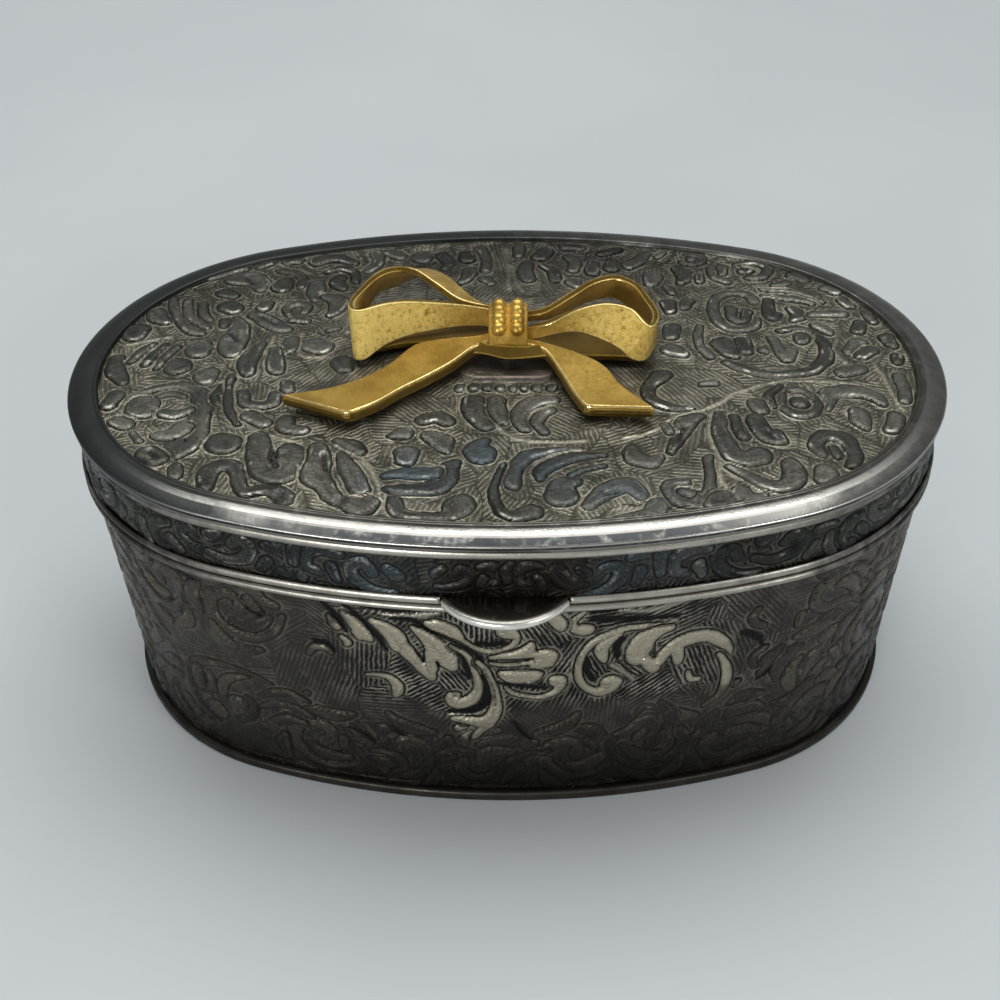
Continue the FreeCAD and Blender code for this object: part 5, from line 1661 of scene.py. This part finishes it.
def silver(name, tone, tarnish_and_shade, start, full, low_share, rough, lean=0.0, bands=()):
    """Polished plate, darker away from the front with tarnish and painted reflection, and bands across it,
    mostly painted highlights and reflections.
    """
    material, tree, shader = new_material(name)
    away = value_of(tree, "away")
    band = value_of(tree, "band")
    side = value_of(tree, "side")
    cloud = noise(tree, cloud_scale, 5.0, 0.65)
    spot = noise(tree, spot_scale, 4.0, 0.6)
    fine = noise(tree, silver_fine_scale, 2.0)
    # Darker away from the front and towards the left side: tarnish and painted reflection of the dark room
    mask = plus(tree, ramp(tree, away, start, full, low_share, 0.95), sway(tree, cloud, 1.3))
    mask = plus(tree, mask, times(tree, side, -lean))
    mask = plus(tree, mask, sway(tree, spot, 0.8), clamp=True)
    colour = blend(tree, mask, tone, tarnish_and_shade)
    # Bands across the profile, mostly painted highlights and reflections, faded on the left side
    for low, high, band_tone, share, reach in bands:
        strip = times(tree, ramp(tree, band, low - band_blur_share, low + band_blur_share),
                      ramp(tree, band, high + band_blur_share, high - band_blur_share))
        strip = times(tree, strip, ramp(tree, away, reach, reach * 0.4, 0.0, share))
        strip = times(tree, strip, ramp(tree, spot, 0.3, 0.5, 0.45))
        strip = times(tree, strip, ramp(tree, side, -0.88, -0.62, 1 - lean * 2))
        colour = blend(tree, strip, colour, band_tone)
    rough = plus(tree, ramp(tree, cloud, 0.3, 0.7, rough, rough + 0.12), times(tree, mask, 0.12))
    finish_surface(tree, shader, {"Base Color": colour, "Metallic": 0.92, "Roughness": rough}, fine,
                   silver_bump, 0.5)
    return material


gold_dark = (0.47, 0.29, 0.052)
gold_light = (0.71, 0.47, 0.11)
gold_brushed_light = (0.92, 0.70, 0.26)
gold_brushed_dark = (0.30, 0.17, 0.03)
gold_highlight = (1.0, 0.74, 0.2)
gold_highlight_dark_speck = (0.40, 0.23, 0.035)
gold_spark = (1.0, 0.90, 0.44)
gold_corner_highlight = (1.0, 0.86, 0.48)
gold_edge_shade = (0.10, 0.06, 0.009)
brush_scale = 1.6
brush_run_share = 4.0
brush_side_share = 0.45
gold_cloud_scale = 260.0
gold_patch_scale = 1500.0
gold_grain_scale = 3200.0


def gold():
    """Satin gold plate, brushed across the ribbon, with painted highlights on its corners and loop fronts and
    painted shade on its lower edges.
    """
    material, tree, shader = new_material("satin_gold")
    run = value_of(tree, "run")
    side = value_of(tree, "side")
    rim = value_of(tree, "rim")
    lit = value_of(tree, "painted_highlight")
    lines = node(tree, "CombineXYZ", {"X": times(tree, run, brush_run_share),
                                      "Y": times(tree, side, brush_side_share)})
    brushed = noise(tree, brush_scale, 4.0, 0.7, lines.outputs[0])
    cloud = noise(tree, gold_cloud_scale, 4.0)
    patch = noise(tree, gold_patch_scale, 6.0, 0.8)
    grain = noise(tree, gold_grain_scale, 2.0)
    # Painted highlight on the loops' fronts, broken into bright sparks and darker specks
    painted_highlight = times(tree, lit, ramp(tree, patch, 0.32, 0.5))
    highlight_dark_specks = times(tree, lit, ramp(tree, patch, 0.47, 0.38))
    sparks = times(tree, lit, ramp(tree, patch, 0.53, 0.63))
    colour = blend(tree, ramp(tree, cloud, 0.32, 0.68), gold_dark, gold_light)
    colour = blend(tree, ramp(tree, brushed, 0.55, 0.72, 0.0, 0.55), colour, gold_brushed_light)
    colour = blend(tree, ramp(tree, brushed, 0.45, 0.3, 0.0, 0.5), colour, gold_brushed_dark)
    colour = blend(tree, ramp(tree, painted_highlight, 0.0, 0.8), colour, gold_highlight)
    colour = blend(tree, times(tree, highlight_dark_specks, 0.45), colour, gold_highlight_dark_speck)
    colour = blend(tree, sparks, colour, gold_spark)
    # Painted highlights on the corners, painted shade on the lower edges
    colour = blend(tree, ramp(tree, rim, 0.75, 1.0, 0.0, 0.6), colour, gold_corner_highlight)
    colour = blend(tree, ramp(tree, rim, -0.05, -0.9, 0.0, 0.85), colour, gold_edge_shade)
    metallic = ramp(tree, painted_highlight, 0.0, 0.8, 0.88, 0.45)
    rough = plus(tree, ramp(tree, brushed, 0.3, 0.7, 0.46, 0.34), ramp(tree, rim, 0.62, 0.95, 0.0, -0.2))
    rough = plus(tree, rough, times(tree, lit, 0.15))
    height = plus(tree, times(tree, brushed, ramp(tree, rim, 0.5, 0.0)), times(tree, grain, 0.25))
    height = plus(tree, height, times(tree, times(tree, patch, ramp(tree, rim, 0.5, 0.1)), 2.0))
    finish_surface(tree, shader, {"Base Color": colour, "Metallic": metallic, "Roughness": rough}, height,
                   gold_bump, 0.9)
    return material


pile_scale = 2400.0
nap_scale = 90.0
velvet_dark = (0.016, 0.021, 0.056)
velvet_light = (0.028, 0.037, 0.092)


def velvet():
    material, tree, shader = new_material("blue_velvet")
    pile = noise(tree, pile_scale, 3.0)
    nap = noise(tree, nap_scale, 3.0)
    colour = blend(tree, ramp(tree, nap, 0.3, 0.7), velvet_dark, velvet_light)
    finish_surface(tree, shader, {"Base Color": colour, "Roughness": 0.95, "Sheen Weight": 0.6}, pile,
                   pile_bump, 0.6)
    return material


dull_cloud_scale = 220.0
dull_fine_scale = 2200.0


def dull_silver(name, light, dark, rough):
    """Unpolished plate for what the closed lid hides."""
    material, tree, shader = new_material(name)
    cloud = noise(tree, dull_cloud_scale, 4.0)
    fine = noise(tree, dull_fine_scale, 2.0)
    colour = blend(tree, ramp(tree, cloud, 0.35, 0.65), dark, light)
    rough = ramp(tree, cloud, 0.3, 0.7, rough, rough + 0.15)
    finish_surface(tree, shader, {"Base Color": colour, "Metallic": 1.0, "Roughness": rough}, fine, dull_bump,
                   0.5)
    return material


def dress(names, material):
    """Give CAD nodes that are kept a material of their own."""
    for name in names:
        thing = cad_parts[name]
        if thing.material_slots:
            for slot in thing.material_slots:
                slot.material = material
        else:
            thing.data.materials.append(material)


lid_metal = relief_metal("lid_relief_metal", {
    "motif": (0.066, 0.066, 0.056), "motif_pale": (0.20, 0.195, 0.165), "worn_and_sheen": (0.60, 0.585, 0.51),
    "crease": (0.01, 0.01, 0.009), "ground": (0.10, 0.094, 0.07), "ground_black_share": 0.0,
    "dull_line": (0.40, 0.375, 0.285), "line": (0.62, 0.585, 0.47), "brown": (0.17, 0.135, 0.11),
}, crease_width=0.1, crease_low_share=0.7, crease_dull_share=1.0, contour_share=0.85, line_low_share=0.66,
    line_gain_share=0.5, vein_share=0.3, glint_share=0.8)
wall_metal = relief_metal("wall_relief_metal", {
    "motif": (0.042, 0.037, 0.029), "motif_pale": (0.13, 0.114, 0.088), "worn_and_sheen": (0.40, 0.36, 0.275),
    "crease": (0.007, 0.007, 0.006), "ground": (0.04, 0.036, 0.03), "ground_black_share": 0.95,
    "dull_line": (0.135, 0.12, 0.098), "line": (0.36, 0.335, 0.275), "brown": (0.075, 0.052, 0.03),
}, crease_width=0.2, crease_low_share=0.3, crease_dull_share=0.55, contour_share=0.7, line_low_share=0.35,
    line_gain_share=0.6, vein_share=0.7, glint_share=0.25)
# Its brown tone is the painted shade on the panel over the tab
frieze_metal = relief_metal("frieze_relief_metal", {
    "motif": (0.013, 0.014, 0.013), "motif_pale": (0.095, 0.093, 0.083), "worn_and_sheen": (0.42, 0.40, 0.36),
    "crease": (0.004, 0.004, 0.004), "ground": (0.013, 0.012, 0.010), "ground_black_share": 0.3,
    "dull_line": (0.115, 0.107, 0.085), "line": (0.24, 0.225, 0.185), "brown": (0.014, 0.009, 0.004),
}, crease_width=0.16, crease_low_share=0.6, crease_dull_share=1.0, contour_share=0.42, line_low_share=0.3,
    line_gain_share=0.6, vein_share=0.85, glint_share=0.5)

# Bands across a moulding: where each starts and ends as shares of the profile, its tone, strength and reach
rim_bands = (
    # Painted reflection of the floor on the lower roll
    (0.0, 0.11, (0.30, 0.275, 0.235), 0.9, 90.0),
    # Painted dark line under the edge
    (0.13, 0.2, (0.015, 0.015, 0.014), 0.9, 110.0),
    # Painted highlight along the edge
    (0.215, 0.245, (0.75, 0.74, 0.7), 0.9, 120.0),
    # Painted dark mirror reflection in front
    (0.255, 0.40, (0.03, 0.034, 0.036), 0.95, 42.0),
    # Painted highlight on the crown
    (0.45, 0.58, (0.68, 0.665, 0.60), 0.85, 62.0),
    # Darker inner slope
    (0.60, 0.86, (0.075, 0.072, 0.06), 0.85, 160.0),
)
tab_bands = (
    # Painted highlight on the tab's front edge
    (0.0, 0.5, (0.90, 0.88, 0.82), 0.85, 90.0),
    # Painted reflection of the frieze, dark, on the tab's top
    (0.62, 1.0, (0.07, 0.06, 0.045), 0.85, 90.0),
)
# Beads and tab: pale in front, partly wear and partly a painted reflection of the floor; darker to the sides
# with tarnish and painted shade
worn_and_lit_tone = (0.50, 0.47, 0.41)
worn_tarnish_and_shade = (0.05, 0.048, 0.044)
# The rim's tones and bands hold painted reflections and highlights
polished_silver = silver("polished_rim_painted_light", (0.30, 0.29, 0.265), (0.045, 0.05, 0.048), start=31.0, full=41.0,
                         low_share=0.05, rough=0.2, lean=0.45, bands=rim_bands)
worn_and_lit_silver = silver("worn_lit_bead", worn_and_lit_tone, worn_tarnish_and_shade, start=20.0, full=56.0, low_share=0.2, rough=0.26)
tab_silver = silver("worn_lit_tab", worn_and_lit_tone, worn_tarnish_and_shade, start=22.0, full=60.0, low_share=0.05, rough=0.2,
                    bands=tab_bands)
foot_metal = silver("dark_foot", (0.085, 0.077, 0.063), (0.026, 0.024, 0.02), start=10.0, full=60.0,
                    low_share=0.55, rough=0.3)
inner_silver = dull_silver("inner_silver", (0.26, 0.25, 0.23), (0.10, 0.097, 0.09), 0.35)
pin_silver = dull_silver("pin_silver", (0.36, 0.35, 0.33), (0.17, 0.165, 0.155), 0.28)
gold_plate = gold()
cloth = velvet()

lid_plate(lid_metal)
body_wall(wall_metal)
lid_skirt(frieze_metal)
mouldings(polished_silver, worn_and_lit_silver, foot_metal)
thumb_tab(tab_silver)
bow(gold_plate)
linings(cloth)
dress(["base_plate", "body_lip", "body_hinge_leaf", "lid_hinge_leaf"], inner_silver)
dress(["hinge_pin", "bow_stud"], pin_silver)

# Floor, light and camera. Their places and sizes are in metres, and the camera's place is in millimetres.
floor_reach = 2.0
floor_dark = (0.60, 0.64, 0.655)
floor_light = (0.65, 0.69, 0.70)
floor_cloud_scale = 7.0
air_tone = (0.86, 0.89, 0.91, 1)
air_strength = 0.28

# Each lamp: place, aim, width, depth and power
lamps = {
    "overhead": ((0.0, 0.2, 0.75), (0, 0, 0.03), 0.8, 0.55, 4.0),
    "front_left": ((-0.3, -0.75, 0.16), (0, 0, 0.05), 0.3, 0.16, 2.6),
    "front_right": ((0.5, -0.5, 0.35), (0, 0, 0.03), 0.3, 0.3, 1.2),
}
camera_pitch = 38.4
camera_yaw = -1.69
camera_roll = -1.04
camera_place = (3.8831, -165.5188, 154.9561)
camera_lens = 54.0
camera_sensor = 36.0
camera_near = 0.01

floor_mesh = bpy.data.meshes.new("floor")
floor_mesh.from_pydata([(-floor_reach, -floor_reach, 0), (floor_reach, -floor_reach, 0),
                        (floor_reach, floor_reach, 0), (-floor_reach, floor_reach, 0)], [], [(0, 1, 2, 3)])
floor = bpy.data.objects.new("floor", floor_mesh)
bpy.context.scene.collection.objects.link(floor)
floor_paint, floor_tree, floor_shader = new_material("pale_paper")
floor_cloud = noise(floor_tree, floor_cloud_scale, 3.0)
floor_colour = blend(floor_tree, ramp(floor_tree, floor_cloud, 0.3, 0.7), floor_dark, floor_light)
fill_sockets(floor_tree, floor_shader, {"Base Color": floor_colour, "Roughness": 0.65})
floor_mesh.materials.append(floor_paint)

world = bpy.data.worlds.new("studio")
bpy.context.scene.world = world
world.use_nodes = True
background = next(one for one in world.node_tree.nodes if one.type == "BACKGROUND")
fill_sockets(world.node_tree, background, {"Color": air_tone, "Strength": air_strength})

for name, (place, aim, wide, deep, power) in lamps.items():
    light = bpy.data.lights.new(name, "AREA")
    light.shape = "RECTANGLE"
    light.size = wide
    light.size_y = deep
    light.energy = power
    lamp = bpy.data.objects.new(name, light)
    bpy.context.scene.collection.objects.link(lamp)
    lamp.location = place
    lamp.rotation_euler = (Vector(aim) - Vector(place)).to_track_quat("-Z", "Y").to_euler()

pitch = math.radians(camera_pitch)
roll = math.radians(camera_roll)
right = Vector((1, 0, 0))
ahead = Vector((0, math.cos(pitch), -math.sin(pitch)))
upward = Vector((0, math.sin(pitch), math.cos(pitch)))
axis_x = right * math.cos(roll) + upward * math.sin(roll)
axis_y = upward * math.cos(roll) - right * math.sin(roll)
turn_back = Matrix.Rotation(math.radians(-camera_yaw), 3, "Z")
axes = turn_back @ Matrix((axis_x, axis_y, -ahead)).transposed()
camera_data = bpy.data.cameras.new("camera")
camera_data.lens = camera_lens
camera_data.sensor_width = camera_sensor
camera_data.clip_start = camera_near
camera = bpy.data.objects.new("camera", camera_data)
bpy.context.scene.collection.objects.link(camera)
camera.matrix_world = Matrix.Translation(Vector(camera_place) * mm) @ axes.to_4x4()
bpy.context.scene.camera = camera
bpy.context.scene.view_settings.view_transform = "Standard"
